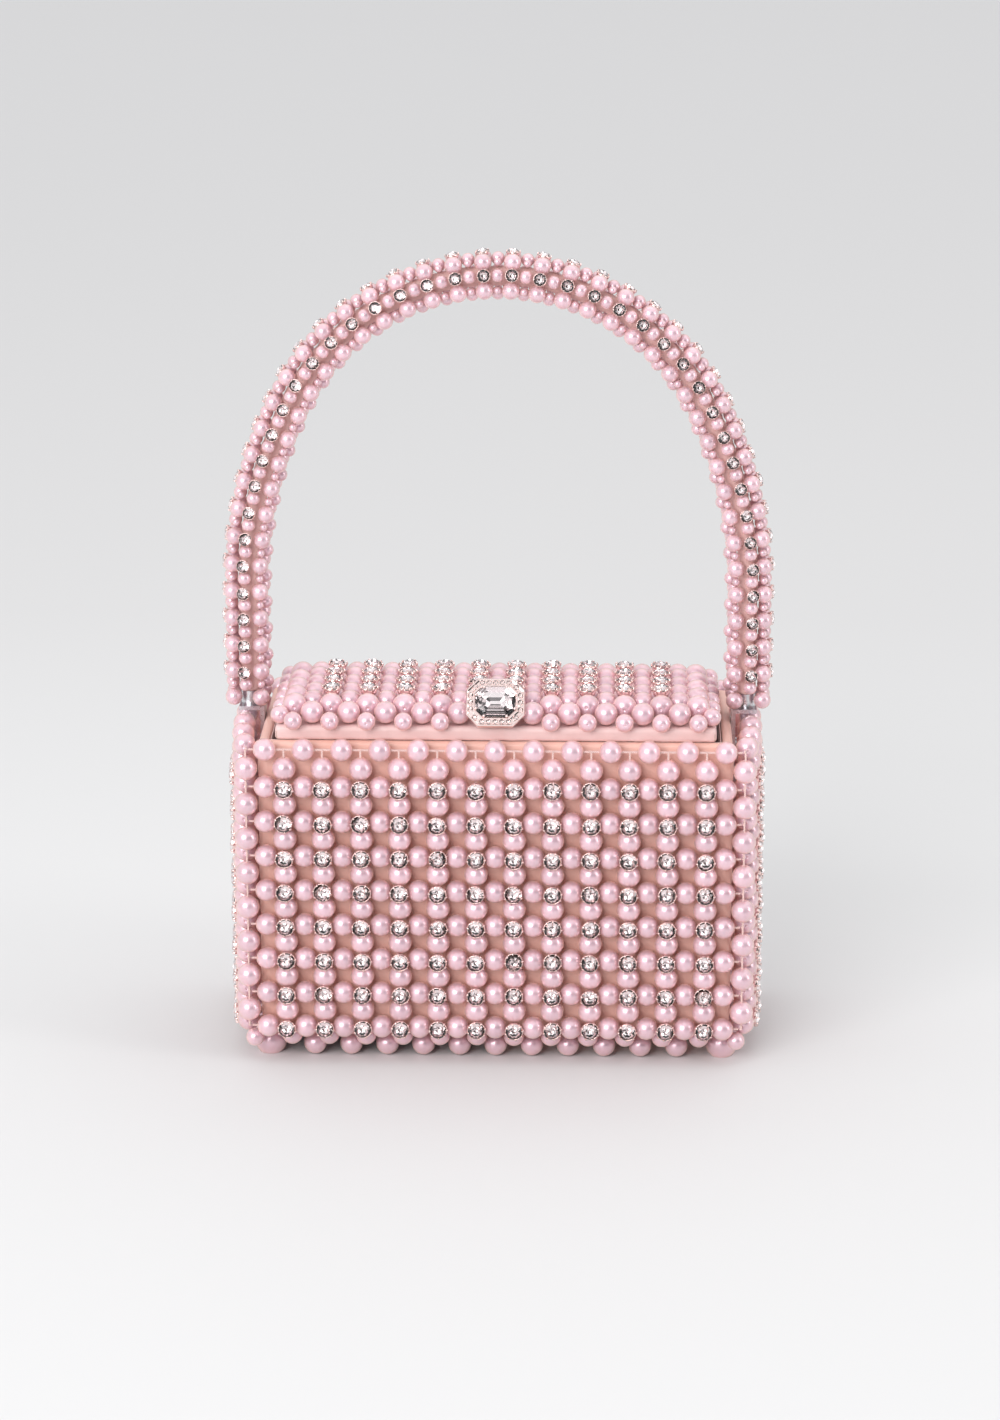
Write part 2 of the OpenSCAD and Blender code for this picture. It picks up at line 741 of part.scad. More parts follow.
module hinge_lid_leaves() {
    color(steel_color) for (side = [-1, 1]) difference() {
        union() {
            block([side * hinge_x - hinge_w / 2, lid_back - leaf_l, leaf_z],
                  [side * hinge_x + hinge_w / 2, hinge_y - barrel_d / 2 - 0.5, leaf_z + leaf_t]);
            knuckle(side, 1);
            low = side * hinge_x - knuckle_w / 2;
            block([low, lid_back - leaf_l, leaf_z], [low + knuckle_w, hinge_y, leaf_z + leaf_t]);
        }
        pin_bore(side);
        lid_rivet_places(side) cylinder(d = rivet_d, h = 3 * leaf_t, center = true, $fn = 24);
    }
}

module hinge_pins() {
    color(steel_color) for (side = [-1, 1]) translate([side * hinge_x, hinge_y, hinge_z])
        rotate([0, 90, 0]) {
            cylinder(d = hinge_pin_d, h = hinge_w + 0.2, center = true, $fn = 48);
            for (k = [-1, 1]) translate([0, 0, k * (hinge_w / 2 + 0.4)])
                cylinder(d = hinge_pin_d + 1.2, h = 0.6, center = true, $fn = 48);
        }
}

module hinge_case_rivets() {
    color(steel_color) for (side = [-1, 1]) case_rivet_places(side)
        translate([0, 0, -leaf_t]) cylinder(d = rivet_d, h = case_rivet_l, $fn = 24);
}

module hinge_lid_rivets() {
    color(steel_color) for (side = [-1, 1]) lid_rivet_places(side)
        translate([0, 0, -leaf_t]) cylinder(d = rivet_d, h = leaf_t + lid_rivet_l, $fn = 24);
}

// ---- the handle ----

// A round section swept along the centre line, reach to each side of the top. A hollow one has
// the radius r_in inside, and a solid one has r_in = 0.
function ring_points(s, r, sides) = let (p = arch(s)) [
    for (k = [0:sides - 1]) let (a = 360 * k / sides)
        [p[0] + r * cos(a) * sin(p[2]), r * sin(a), p[1] + r * cos(a) * cos(p[2])]
];

module swept(r_in, r_out, reach, sides) {
    steps = 72;
    m = sides;
    radii = r_in > 0 ? [r_out, r_in] : [r_out];
    points = [for (k = [0:steps], r = radii) each ring_points(reach * (2 * k / steps - 1), r, m)];
    rings_each = len(radii) * m;
    function at(k, wall, j) = k * rings_each + wall * m + j % m;
    walls = [
        for (k = [0:steps - 1], wall = [0:len(radii) - 1], j = [0:m - 1]) each wall == 0
            ? [[at(k, 0, j), at(k + 1, 0, j), at(k + 1, 0, j + 1)],
               [at(k, 0, j), at(k + 1, 0, j + 1), at(k, 0, j + 1)]]
            : [[at(k, 1, j), at(k + 1, 1, j + 1), at(k + 1, 1, j)],
               [at(k, 1, j), at(k, 1, j + 1), at(k + 1, 1, j + 1)]]
    ];
    ends = r_in > 0
        ? [for (j = [0:m - 1]) each [
            [at(0, 0, j), at(0, 0, j + 1), at(0, 1, j + 1)], [at(0, 0, j), at(0, 1, j + 1), at(0, 1, j)],
            [at(steps, 0, j + 1), at(steps, 0, j), at(steps, 1, j)],
            [at(steps, 0, j + 1), at(steps, 1, j), at(steps, 1, j + 1)]
          ]]
        : [[for (j = [0:m - 1]) at(0, 0, j)], [for (j = [m - 1:-1:0]) at(steps, 0, j)]];
    polyhedron(points, concat(walls, ends), convexity = 10);
}

module handle_wire() { color(steel_color) swept(0, wire_r, half_l + anchor_t + boss_h, 12); }

module handle_sleeve() { color(satin_color) swept(wire_r + fit_gap, sleeve_r, half_l, 20); }

anchor_hole_d = 2.5;
anchor_rivet_z = wall_top - 10;
anchor_rivet_step = 12;

module anchor_rivet_places(side) {
    for (k = [0, 1]) translate([side * (skin_x - 2), 0, anchor_rivet_z - anchor_rivet_step * k])
        rotate([0, 90, 0]) children();
}

// The right anchor: a plate on the wall, a shelf over the rim and a boss for the wire.
module anchor() {
    inside = skin_x + net_gap;
    difference() {
        union() {
            block([inside, -anchor_w / 2, wall_top - 28],
                  [inside + anchor_t, anchor_w / 2, anchor_z + anchor_t]);
            block([inside, -anchor_w / 2, anchor_z],
                  [handle_x + sleeve_r, anchor_w / 2, anchor_z + anchor_t]);
            translate([handle_x, 0, anchor_z + anchor_t - 0.5])
                cylinder(r = sleeve_r - 0.3, h = boss_h + 0.3, $fn = 48);
        }
        translate([handle_x, 0, anchor_z - 1]) cylinder(r = wire_r + fit_gap, h = 20, $fn = 48);
        anchor_rivet_places(1) cylinder(d = anchor_hole_d, h = 20, center = true, $fn = 32);
    }
}

module left_anchor() { color(steel_color) mirror([1, 0, 0]) anchor(); }

module right_anchor() { color(steel_color) anchor(); }

module anchor_rivets() {
    reach = skin_x + net_gap + anchor_t - inner_x;
    color(steel_color) for (side = [-1, 1], k = [0, 1])
        translate([side * inner_x, 0, anchor_rivet_z - anchor_rivet_step * k]) rotate([0, side * 90, 0]) {
            cylinder(d = anchor_hole_d - 2 * fit_gap, h = reach + 0.6, $fn = 32);
            translate([0, 0, reach + fit_gap]) cylinder(d = 4.4, h = 0.6, $fn = 32);
        }
}

// Frame at a place on the centre line, with +Z pointing away from it.
// a = 0 is the outer line, 90 the front, 180 the inner one and 270 the back.
module on_line(s, a) {
    p = arch(s);
    translate([p[0], 0, p[1]]) rotate([0, p[2], 0]) rotate([a, 0, 0]) children();
}

// The front and the back line lie a little towards the outer side.
function line_angle(a) = a - sin(a) * line_turn;

module handle_ring_pearls() {
    color(pearl_color) for (k = [0:rings - 1], a = [45:90:315])
        on_line(ring_s(k), line_angle(a)) translate([0, 0, ring_pearl_r]) pearl(ring_pearl_d);
}

module handle_line_pearls() {
    color(pearl_color) for (k = [0:rings - 2], a = [0:90:270])
        on_line(ring_s(k + 0.5), line_angle(a)) translate([0, 0, line_pearl_r])
            pearl(line_pearl_d);
}

module handle_seed_pearls() {
    color(pearl_color) for (k = [0:rings - 2], a = [45:90:315])
        on_line(ring_s(k + 0.5), line_angle(a)) translate([0, 0, ring_pearl_r]) pearl(seed_d);
}

module handle_nodes() {
    for (k = [plain_rings:rings - 1 - plain_rings], a = [0, 90, 270])
        on_line(ring_s(k), line_angle(a)) translate([0, 0, handle_cup_base]) children();
}

module handle_cups() { color(metal_color) handle_nodes() cup(handle_cup_d); }

module handle_crystals() { color(crystal_color) handle_nodes() brilliant(handle_cup_d); }

front_board();
back_board();
left_board();
right_board();
bottom_board();
satin_cover();
lining();
front_pearls();
back_pearls();
left_pearls();
right_pearls();
corner_pearls();
ground_pearls();
front_cups();
front_crystals();
back_cups();
back_crystals();
side_cups();
side_crystals();
case_thread();
case_magnet();
lid_board();
lid_padding();
lid_cover();
lid_pearls();
lid_trim_pearls();
lid_cups();
lid_crystals();
lid_thread();
lid_magnet();
clasp_plate();
clasp_setting();
clasp_crystal();
clasp_pave();
hinge_case_leaves();
hinge_lid_leaves();
hinge_pins();
hinge_case_rivets();
hinge_lid_rivets();
handle_wire();
handle_sleeve();
left_anchor();
right_anchor();
anchor_rivets();
handle_ring_pearls();
handle_line_pearls();
handle_seed_pearls();
handle_cups();
handle_crystals();
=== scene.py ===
"""Looks of the flower girl basket: pearls, cut stones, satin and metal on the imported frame.

Everything is in metres in the frame's own axes. Places and sizes come from the CAD nodes.
"""

import math

import bpy
import numpy as np
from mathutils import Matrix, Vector

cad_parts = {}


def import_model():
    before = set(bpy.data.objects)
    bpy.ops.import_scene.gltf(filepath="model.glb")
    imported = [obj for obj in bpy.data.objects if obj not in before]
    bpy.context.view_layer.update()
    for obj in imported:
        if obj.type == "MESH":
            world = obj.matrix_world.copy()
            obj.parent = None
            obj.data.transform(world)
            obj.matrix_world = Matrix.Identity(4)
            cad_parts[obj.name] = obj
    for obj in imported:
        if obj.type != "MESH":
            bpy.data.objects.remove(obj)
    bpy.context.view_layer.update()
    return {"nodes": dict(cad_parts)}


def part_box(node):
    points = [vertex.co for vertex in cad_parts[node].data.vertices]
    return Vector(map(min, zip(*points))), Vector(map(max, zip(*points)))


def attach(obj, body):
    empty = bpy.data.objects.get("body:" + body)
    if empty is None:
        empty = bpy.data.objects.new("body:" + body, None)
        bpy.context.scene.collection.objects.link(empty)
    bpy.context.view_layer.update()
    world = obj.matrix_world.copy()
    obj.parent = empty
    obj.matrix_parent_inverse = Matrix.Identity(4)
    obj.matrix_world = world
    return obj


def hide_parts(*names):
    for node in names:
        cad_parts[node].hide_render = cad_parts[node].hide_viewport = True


MM = 0.001
RNG = np.random.default_rng(11)

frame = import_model()
nodes = frame["nodes"]


# ---- reading the frame ----


def points_of(node):
    """The node's distinct points, and its triangles on them."""
    mesh = nodes[node].data
    mesh.calc_loop_triangles()
    points = np.empty(len(mesh.vertices) * 3)
    mesh.vertices.foreach_get("co", points)
    corners = np.empty(len(mesh.loop_triangles) * 3, int)
    mesh.loop_triangles.foreach_get("vertices", corners)
    distinct, same = np.unique(points.reshape(-1, 3).round(7), axis=0, return_inverse=True)
    return distinct, same.ravel()[corners].reshape(-1, 3)


def islands(node):
    """The node's loose parts, each as an array of its points."""
    points, triangles = points_of(node)
    label = np.arange(len(points))
    ends = np.concatenate([triangles[:, [0, 1]], triangles[:, [1, 2]], triangles[:, [2, 0]]])
    while True:
        low = np.minimum(label[ends[:, 0]], label[ends[:, 1]])
        step = label.copy()
        np.minimum.at(step, ends[:, 0], low)
        np.minimum.at(step, ends[:, 1], low)
        step = step[step]
        if (step == label).all():
            break
        label = step
    used = np.unique(triangles)
    return [points[used[label[used] == k]] for k in np.unique(label[used])]


def balls(node):
    """Centre and radius of each loose part of a node, taken as one ball."""
    found = []
    for points in islands(node):
        system = np.column_stack([2 * points, np.ones(len(points))])
        answer = np.linalg.lstsq(system, (points**2).sum(1), rcond=None)[0]
        radius = math.sqrt(answer[3] + (answer[:3] ** 2).sum())
        found.append((answer[:3], radius))
    return found


def seats(cup_node, stone_node):
    """Foot, outward axis and radius of each cup, from the cup and the stone in it."""
    cups = islands(cup_node)
    stones = [p.mean(0) for p in islands(stone_node)]
    found = []
    for points in cups:
        middle = points.mean(0)
        stone = min(stones, key=lambda s: ((s - middle) ** 2).sum())
        axis = (stone - middle) / np.linalg.norm(stone - middle)
        along = (points - middle) @ axis
        radius = np.linalg.norm((points - middle) - along[:, None] * axis, axis=1).max()
        found.append((middle + axis * along.min(), axis, radius))
    return found


def frame_of(axis, roll=0.0):
    """A rotation, as a 3x3 array of columns, that turns +Z to the axis."""
    turned = Vector(axis).to_track_quat("Z", "Y").to_matrix()
    c, s = math.cos(roll), math.sin(roll)
    return np.array(turned) @ np.array([[c, -s, 0], [s, c, 0], [0, 0, 1]])


# ---- building meshes ----


class Shape:
    """Points, faces, a material number for each face and whether the face is smooth."""

    def __init__(self):
        self.points, self.faces, self.slots, self.smooth = [], [], [], []

    def add(self, points, faces, slot=0, smooth=True):
        start = len(self.points)
        self.points.extend([tuple(p) for p in points])
        self.faces.extend([tuple(start + i for i in f) for f in faces])
        self.slots.extend([slot] * len(faces))
        self.smooth.extend([smooth] * len(faces))
        return self


def placed(shape, places):
    """One mesh's data with the shape at each place (rotation, size, middle)."""
    base = np.array(shape.points)
    count = len(base)
    points = np.concatenate([(base * size) @ turn.T + middle for turn, size, middle in places])
    sizes = np.array([len(f) for f in shape.faces])
    corners = np.concatenate([np.array(f) for f in shape.faces])
    shifts = np.arange(len(places)) * count
    return {
        "points": points,
        "corners": (corners[None, :] + shifts[:, None]).ravel(),
        "sizes": np.tile(sizes, len(places)),
        "slots": np.tile(np.array(shape.slots), len(places)),
        "smooth": np.tile(np.array(shape.smooth), len(places)),
        "copies": np.repeat(np.arange(len(places)), count),
    }


def make(name, data, materials):
    """A mesh object from placed()'s data."""
    mesh = bpy.data.meshes.new(name)
    mesh.vertices.add(len(data["points"]))
    mesh.vertices.foreach_set("co", data["points"].ravel())
    mesh.loops.add(len(data["corners"]))
    mesh.loops.foreach_set("vertex_index", data["corners"])
    starts = np.concatenate([[0], np.cumsum(data["sizes"])[:-1]])
    mesh.polygons.add(len(data["sizes"]))
    mesh.polygons.foreach_set("loop_start", starts)
    mesh.polygons.foreach_set("material_index", data["slots"])
    mesh.polygons.foreach_set("use_smooth", data["smooth"])
    mesh.update(calc_edges=True)
    mesh.validate()
    for material in materials:
        mesh.materials.append(material)
    piece = bpy.data.objects.new(name, mesh)
    bpy.context.scene.collection.objects.link(piece)
    return piece


def single(name, shape, materials):
    return make(name, placed(shape, [(np.eye(3), 1.0, np.zeros(3))]), materials)


def tone(piece, data, values):
    """Writes one number for each copy onto its points, for the material to read."""
    attribute = piece.data.attributes.new("tone", "FLOAT", "POINT")
    attribute.data.foreach_set("value", np.asarray(values)[data["copies"]].astype(np.float32))


def lathe(profile, sides):
    """Points and faces of a profile of (radius, height) turned about +Z, closed at both ends."""
    points, faces = [], []
    for radius, height in profile:
        for k in range(sides):
            a = 2 * math.pi * k / sides
            points.append((radius * math.cos(a), radius * math.sin(a), height))
    for row in range(len(profile) - 1):
        for k in range(sides):
            a, b = row * sides + k, row * sides + (k + 1) % sides
            faces.append((a, b, b + sides, a + sides))
    faces.append(tuple(reversed(range(sides))))
    faces.append(tuple((len(profile) - 1) * sides + k for k in range(sides)))
    return points, faces


def loft(loops):
    """Points and faces between closed loops that have the same number of points."""
    count = len(loops[0])
    points = [p for loop in loops for p in loop]
    faces = []
    for row in range(len(loops) - 1):
        for k in range(count):
            a, b = row * count + k, row * count + (k + 1) % count
            faces.append((a, b, b + count, a + count))
    return points, faces


def round_rect(half_x, half_y, corner, across, deep, bends=5):
    """A rounded rectangle, counter-clockwise, with across and deep steps on its sides."""
    loop = []
    x, y = half_x - corner, half_y - corner
    sides = [
        ((-x, -half_y), (x, -half_y), across),
        ((half_x, -y), (half_x, y), deep),
        ((x, half_y), (-x, half_y), across),
        ((-half_x, y), (-half_x, -y), deep),
    ]
    middles = [(x, -y), (x, y), (-x, y), (-x, -y)]
    for n, (a, b, steps) in enumerate(sides):
        for k in range(steps):
            t = k / steps
            loop.append((a[0] + (b[0] - a[0]) * t, a[1] + (b[1] - a[1]) * t))
        for k in range(bends):
            angle = math.radians(90 * (n - 1) + 90 * k / bends)
            cx, cy = middles[n]
            loop.append((cx + corner * math.cos(angle), cy + corner * math.sin(angle)))
    return loop


def waves(count, shortest, longest, seed):
    """A smooth uneven function of one length, from -1 to 1."""
    draw = np.random.default_rng(seed)
    lengths = np.exp(draw.uniform(math.log(shortest), math.log(longest), count))
    starts = draw.uniform(0, 2 * math.pi, count)
    weights = lengths / lengths.sum()

    def value(x):
        return float((weights * np.sin(2 * math.pi * x / lengths + starts)).sum() * 1.6)

    return value


# ---- materials ----


class Nodes:
    """Short calls for building a node material."""

    def __init__(self, name):
        self.material = bpy.data.materials.new(name)
        self.material.use_nodes = True
        self.tree = self.material.node_tree
        self.shader = self.tree.nodes["Principled BSDF"]

    def node(self, kind, **settings):
        made = self.tree.nodes.new(kind)
        for key, value in settings.items():
            setattr(made, key, value)
        return made

    def link(self, source, target):
        self.tree.links.new(source, target)

    def set(self, **values):
        for key, value in values.items():
            self.shader.inputs[key.replace("_", " ")].default_value = value

    def place(self, scale=1.0):
        mapping = self.node("ShaderNodeMapping")
        mapping.inputs["Scale"].default_value = (scale,) * 3 if np.isscalar(scale) else scale
        self.link(self.node("ShaderNodeTexCoord").outputs["Object"], mapping.inputs["Vector"])
        return mapping.outputs["Vector"]

    def noise(self, scale, detail=3.0, rough=0.5, vector=None):
        made = self.node("ShaderNodeTexNoise")
        made.inputs["Scale"].default_value = scale
        made.inputs["Detail"].default_value = detail
        made.inputs["Roughness"].default_value = rough
        self.link(vector or self.place(), made.inputs["Vector"])
        return made.outputs["Fac"]

    def wave(self, scale, direction, vector=None, distortion=0.6):
        made = self.node("ShaderNodeTexWave", bands_direction=direction)
        made.inputs["Scale"].default_value = scale
        made.inputs["Distortion"].default_value = distortion
        made.inputs["Detail"].default_value = 1.5
        self.link(vector or self.place(), made.inputs["Vector"])
        return made.outputs["Fac"]

    def ramp(self, value, stops):
        made = self.node("ShaderNodeValToRGB")
        line = made.color_ramp
        while len(line.elements) < len(stops):
            line.elements.new(0.5)
        for element, (place, colour) in zip(line.elements, stops):
            element.position = place
            element.color = (*colour, 1.0)
        self.link(value, made.inputs["Fac"])
        return made.outputs["Color"]

    def span(self, value, low, high):
        made = self.node("ShaderNodeMapRange")
        made.inputs["To Min"].default_value = low
        made.inputs["To Max"].default_value = high
        self.link(value, made.inputs["Value"])
        return made.outputs["Result"]

    def join(self, a, b, operation="ADD"):
        made = self.node("ShaderNodeMath", operation=operation)
        for socket, value in zip(made.inputs, (a, b)):
            if isinstance(value, float):
                socket.default_value = value
            else:
                self.link(value, socket)
        return made.outputs["Value"]

    def mix(self, factor, a, b, blend="MIX"):
        made = self.node("ShaderNodeMix", data_type="RGBA", blend_type=blend)
        for socket, value in zip((made.inputs[0], made.inputs[6], made.inputs[7]), (factor, a, b)):
            if isinstance(value, float):
                socket.default_value = value
            elif isinstance(value, tuple):
                socket.default_value = (*value, 1.0)
            else:
                self.link(value, socket)
        return made.outputs[2]

    def bump(self, height, strength, distance):
        made = self.node("ShaderNodeBump")
        made.inputs["Strength"].default_value = strength
        made.inputs["Distance"].default_value = distance
        self.link(height, made.inputs["Height"])
        self.link(made.outputs["Normal"], self.shader.inputs["Normal"])

    def attribute(self, name):
        return self.node("ShaderNodeAttribute", attribute_name=name).outputs["Fac"]

    def colour(self, value):
        self.link(value, self.shader.inputs["Base Color"])

    def rough(self, value):
        self.link(value, self.shader.inputs["Roughness"])


def pearl_material():
    """Rosy lacquer over a pearl core: mauve-pink where it faces the eye, lighter and warmer to its edge;
    the warm edge is partly the pearl's own play of colour and partly a painted reflection of the peach
    satin.
    """
    m = Nodes("pearl_lacquer")
    facing = m.node("ShaderNodeLayerWeight")
    facing.inputs["Blend"].default_value = 0.42
    # colour by angle to the eye: the lighter peach edge is partly a painted rim reflection of the satin,
    # partly the pearl's own colour play
    body = m.ramp(
        facing.outputs["Facing"],
        [
            (0.0, (0.80, 0.56, 0.64)), (0.4, (0.88, 0.61, 0.65)),
            (0.75, (0.94, 0.60, 0.53)), (1.0, (0.97, 0.67, 0.57)),
        ],
    )
    cloud = m.noise(160.0, 2.0)
    shade = m.join(m.span(cloud, 0.96, 1.04), m.span(m.attribute("tone"), 0.94, 1.05), "MULTIPLY")
    tint = m.node("ShaderNodeCombineColor")
    for socket in tint.inputs[:3]:
        m.link(shade, socket)
    m.colour(m.mix(1.0, body, tint.outputs["Color"], "MULTIPLY"))
    m.set(Coat_Weight=0.75, Coat_Roughness=0.13, Coat_IOR=1.5, Specular_IOR_Level=0.6)
    m.set(Subsurface_Weight=0.22, Subsurface_Radius=(0.9, 0.55, 0.5), Subsurface_Scale=0.0012)
    m.set(Sheen_Weight=0.25, Sheen_Roughness=0.35, Sheen_Tint=(1.0, 0.82, 0.76, 1.0))
    m.rough(m.span(cloud, 0.26, 0.36))
    m.set(Metallic=0.4)
    m.bump(m.noise(900.0, 2.0), 0.05, 0.0002)
    return m.material


def glass_material(name, tint):
    """Clear cut glass; a faint ripple keeps each facet from being one flat patch."""
    m = Nodes(name)
    cloud = m.noise(420.0, 1.0)
    m.colour(m.mix(cloud, tint, tuple(min(1.0, c * 1.04) for c in tint)))
    m.set(Transmission_Weight=1.0, IOR=1.62, Specular_IOR_Level=0.6)
    m.rough(m.span(cloud, 0.0, 0.02))
    return m.material


def foil_material():
    """The silvered back of a stone, slightly rosy."""
    m = Nodes("stone_foil")
    cloud = m.noise(800.0, 2.0)
    m.colour(m.mix(cloud, (0.96, 0.86, 0.87), (1.0, 0.95, 0.95)))
    m.set(Metallic=1.0)
    m.rough(m.span(cloud, 0.03, 0.1))
    return m.material


def metal_material(name, low, high, rough, worn=0.0):
    """Plated metal with fine tooling marks."""
    m = Nodes(name)
    cloud = m.noise(350.0, 4.0)
    m.colour(m.mix(cloud, low, high))
    m.set(Metallic=1.0)
    m.rough(m.span(m.noise(1200.0, 3.0), rough, rough + 0.14 + worn))
    m.bump(m.noise(1600.0, 2.0), 0.08, 0.0002)
    return m.material


def satin_material(name, shade, light, weave=620.0, along="X"):
    """Satin: a fine weave that catches the light along one thread."""
    m = Nodes(name)
    place = m.place()
    warp = m.wave(weave, "X", place, 0.3)
    weft = m.wave(weave, "Z", place, 0.3)
    threads = m.join(warp, weft, "MULTIPLY")
    cloud = m.noise(38.0, 3.0)
    slub = m.noise(240.0, 2.0, vector=m.place((1.0, 1.0, 6.0) if along == "X" else (6.0, 1.0, 1.0)))
    m.colour(m.mix(m.join(cloud, m.span(slub, -0.15, 0.15)), shade, light))
    m.set(Sheen_Weight=0.6, Sheen_Roughness=0.3, Sheen_Tint=(1.0, 0.86, 0.82, 1.0))
    m.set(Specular_IOR_Level=0.55, Anisotropic=0.55)
    m.rough(m.span(slub, 0.34, 0.5))
    m.bump(m.join(m.join(threads, 0.25, "MULTIPLY"), slub), 0.35, 0.00025)
    return m.material


def thread_material():
    m = Nodes("beading_thread")
    twist = m.wave(900.0, "DIAGONAL", distortion=0.2)
    m.colour(m.mix(twist, (0.72, 0.47, 0.43), (0.88, 0.66, 0.62)))
    m.set(Sheen_Weight=0.3, Sheen_Roughness=0.5)
    m.rough(m.span(twist, 0.4, 0.6))
    m.bump(twist, 0.4, 0.0002)
    return m.material


def board_material():
    """Pressed grey board with flecks."""
    m = Nodes("case_board")
    flecks = m.noise(500.0, 6.0, 0.7)
    m.colour(m.ramp(flecks, [(0.3, (0.33, 0.27, 0.2)), (0.7, (0.55, 0.47, 0.37))]))
    m.rough(m.span(flecks, 0.7, 0.9))
    m.bump(flecks, 0.4, 0.0003)
    return m.material


def wadding_material():
    m = Nodes("lid_wadding")
    fibres = m.noise(300.0, 8.0, 0.75)
    m.colour(m.ramp(fibres, [(0.3, (0.72, 0.7, 0.67)), (0.7, (0.92, 0.91, 0.88))]))
    m.rough(m.span(fibres, 0.85, 1.0))
    m.set(Sheen_Weight=0.4)
    m.bump(fibres, 0.8, 0.0006)
    return m.material


PEARL = pearl_material()
GLASS = glass_material("stone_glass", (1.0, 0.97, 0.97))
CLEAR = glass_material("clasp_glass", (1.0, 0.985, 0.985))
FOIL = foil_material()
CUP = metal_material("cup_plating", (0.84, 0.60, 0.56), (0.93, 0.76, 0.72), 0.14)
SETTING = metal_material("setting_plating", (0.86, 0.66, 0.62), (0.95, 0.82, 0.79), 0.12)
STEEL = metal_material("hinge_steel", (0.60, 0.60, 0.62), (0.78, 0.78, 0.80), 0.22)
MAGNET = metal_material("magnet_nickel", (0.55, 0.55, 0.56), (0.70, 0.70, 0.70), 0.25, 0.1)
SATIN = satin_material("wall_satin", (0.82, 0.46, 0.37), (0.94, 0.62, 0.53))
LID_SATIN = satin_material("lid_satin", (0.78, 0.52, 0.49), (0.90, 0.68, 0.66))
LINING = satin_material("lining_satin", (0.70, 0.44, 0.40), (0.84, 0.62, 0.58), 560.0, "Z")
RIBBON = satin_material("ribbon_satin", (0.74, 0.46, 0.42), (0.88, 0.62, 0.58), 700.0)
THREAD = thread_material()
BOARD = board_material()
WADDING = wadding_material()


# ---- pearls ----


DRILL_R, DRILL_DEPTH = 0.11, 0.12    # the hole's mouth, for a pearl of radius 1
PEARL_LEAN = 0.07                    # spread of the hole's axis about the thread
PEARL_FLAT = (0.012, 0.02)           # most that a pearl is out of round


def pearl_shape(sides, rows):
    """A ball of radius 1 with the two mouths of its drill hole, at +Z and -Z."""
    mouth, depth = DRILL_R, DRILL_DEPTH
    start = math.asin(mouth) * 1.5
    throat_r, mouth_z = 0.45 * mouth, 1 - 0.35 * depth
    profile = [(throat_r, -1 + depth), (mouth, -mouth_z)]
    for k in range(rows + 1):
        a = -math.pi / 2 + start + (math.pi - 2 * start) * k / rows
        profile.append((math.cos(a), math.sin(a)))
    profile += [(mouth, mouth_z), (throat_r, 1 - depth)]
    return Shape().add(*lathe(profile, sides))


def thread_boxes(node):
    return [(p.min(0), p.max(0)) for p in islands(node)]


def hole_axis(middle, threads, default):
    """The way that the thread runs through a pearl: the longest side of the thread's box."""
    best, axis = 1.0 * MM, default
    for low, high in threads:
        sides = high - low
        miss = np.maximum(np.maximum(low - middle, middle - high), 0).max()
        miss += np.delete(np.abs((low + high) / 2 - middle), sides.argmax()).min() * 0.01
        if miss < best:
            best, axis = miss, np.eye(3)[sides.argmax()]
    return axis


def pearls(node, body, threads, sides=22, rows=12, default=(0, 0, 1)):
    """Drilled pearls in place of a node of plain balls."""
    shape = pearl_shape(sides, rows)
    places = []
    for middle, radius in balls(node):
        axis = hole_axis(middle, threads, np.array(default, float))
        lean = axis + RNG.normal(0, PEARL_LEAN, 3)
        uneven = np.diag([1.0, 1.0 - RNG.uniform(0, PEARL_FLAT[0]), 1.0 - RNG.uniform(0, PEARL_FLAT[1])])
        places.append((frame_of(lean, RNG.uniform(0, 6.28)) @ uneven, radius, middle))
    data = placed(shape, places)
    piece = make(node + "_drilled", data, [PEARL])
    tone(piece, data, RNG.uniform(0, 1, len(places)))
    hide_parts(node)
    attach(piece, body)


CASE_THREADS = thread_boxes("case_thread")
LID_THREADS = thread_boxes("lid_thread")
for wall in ("front", "back", "left", "right", "corner"):
    pearls(f"{wall}_pearls", "case", CASE_THREADS)
pearls("ground_pearls", "case", [], default=(1, 0, 0))
pearls("lid_pearls", "lid", LID_THREADS)
pearls("lid_trim_pearls", "lid", [], default=(0, 1, 0))
pearls("handle_ring_pearls", "case", [], 18, 10)
pearls("handle_line_pearls", "case", [], 16, 8)
pearls("handle_seed_pearls", "case", [], 12, 6)


# ---- round stones in cups ----


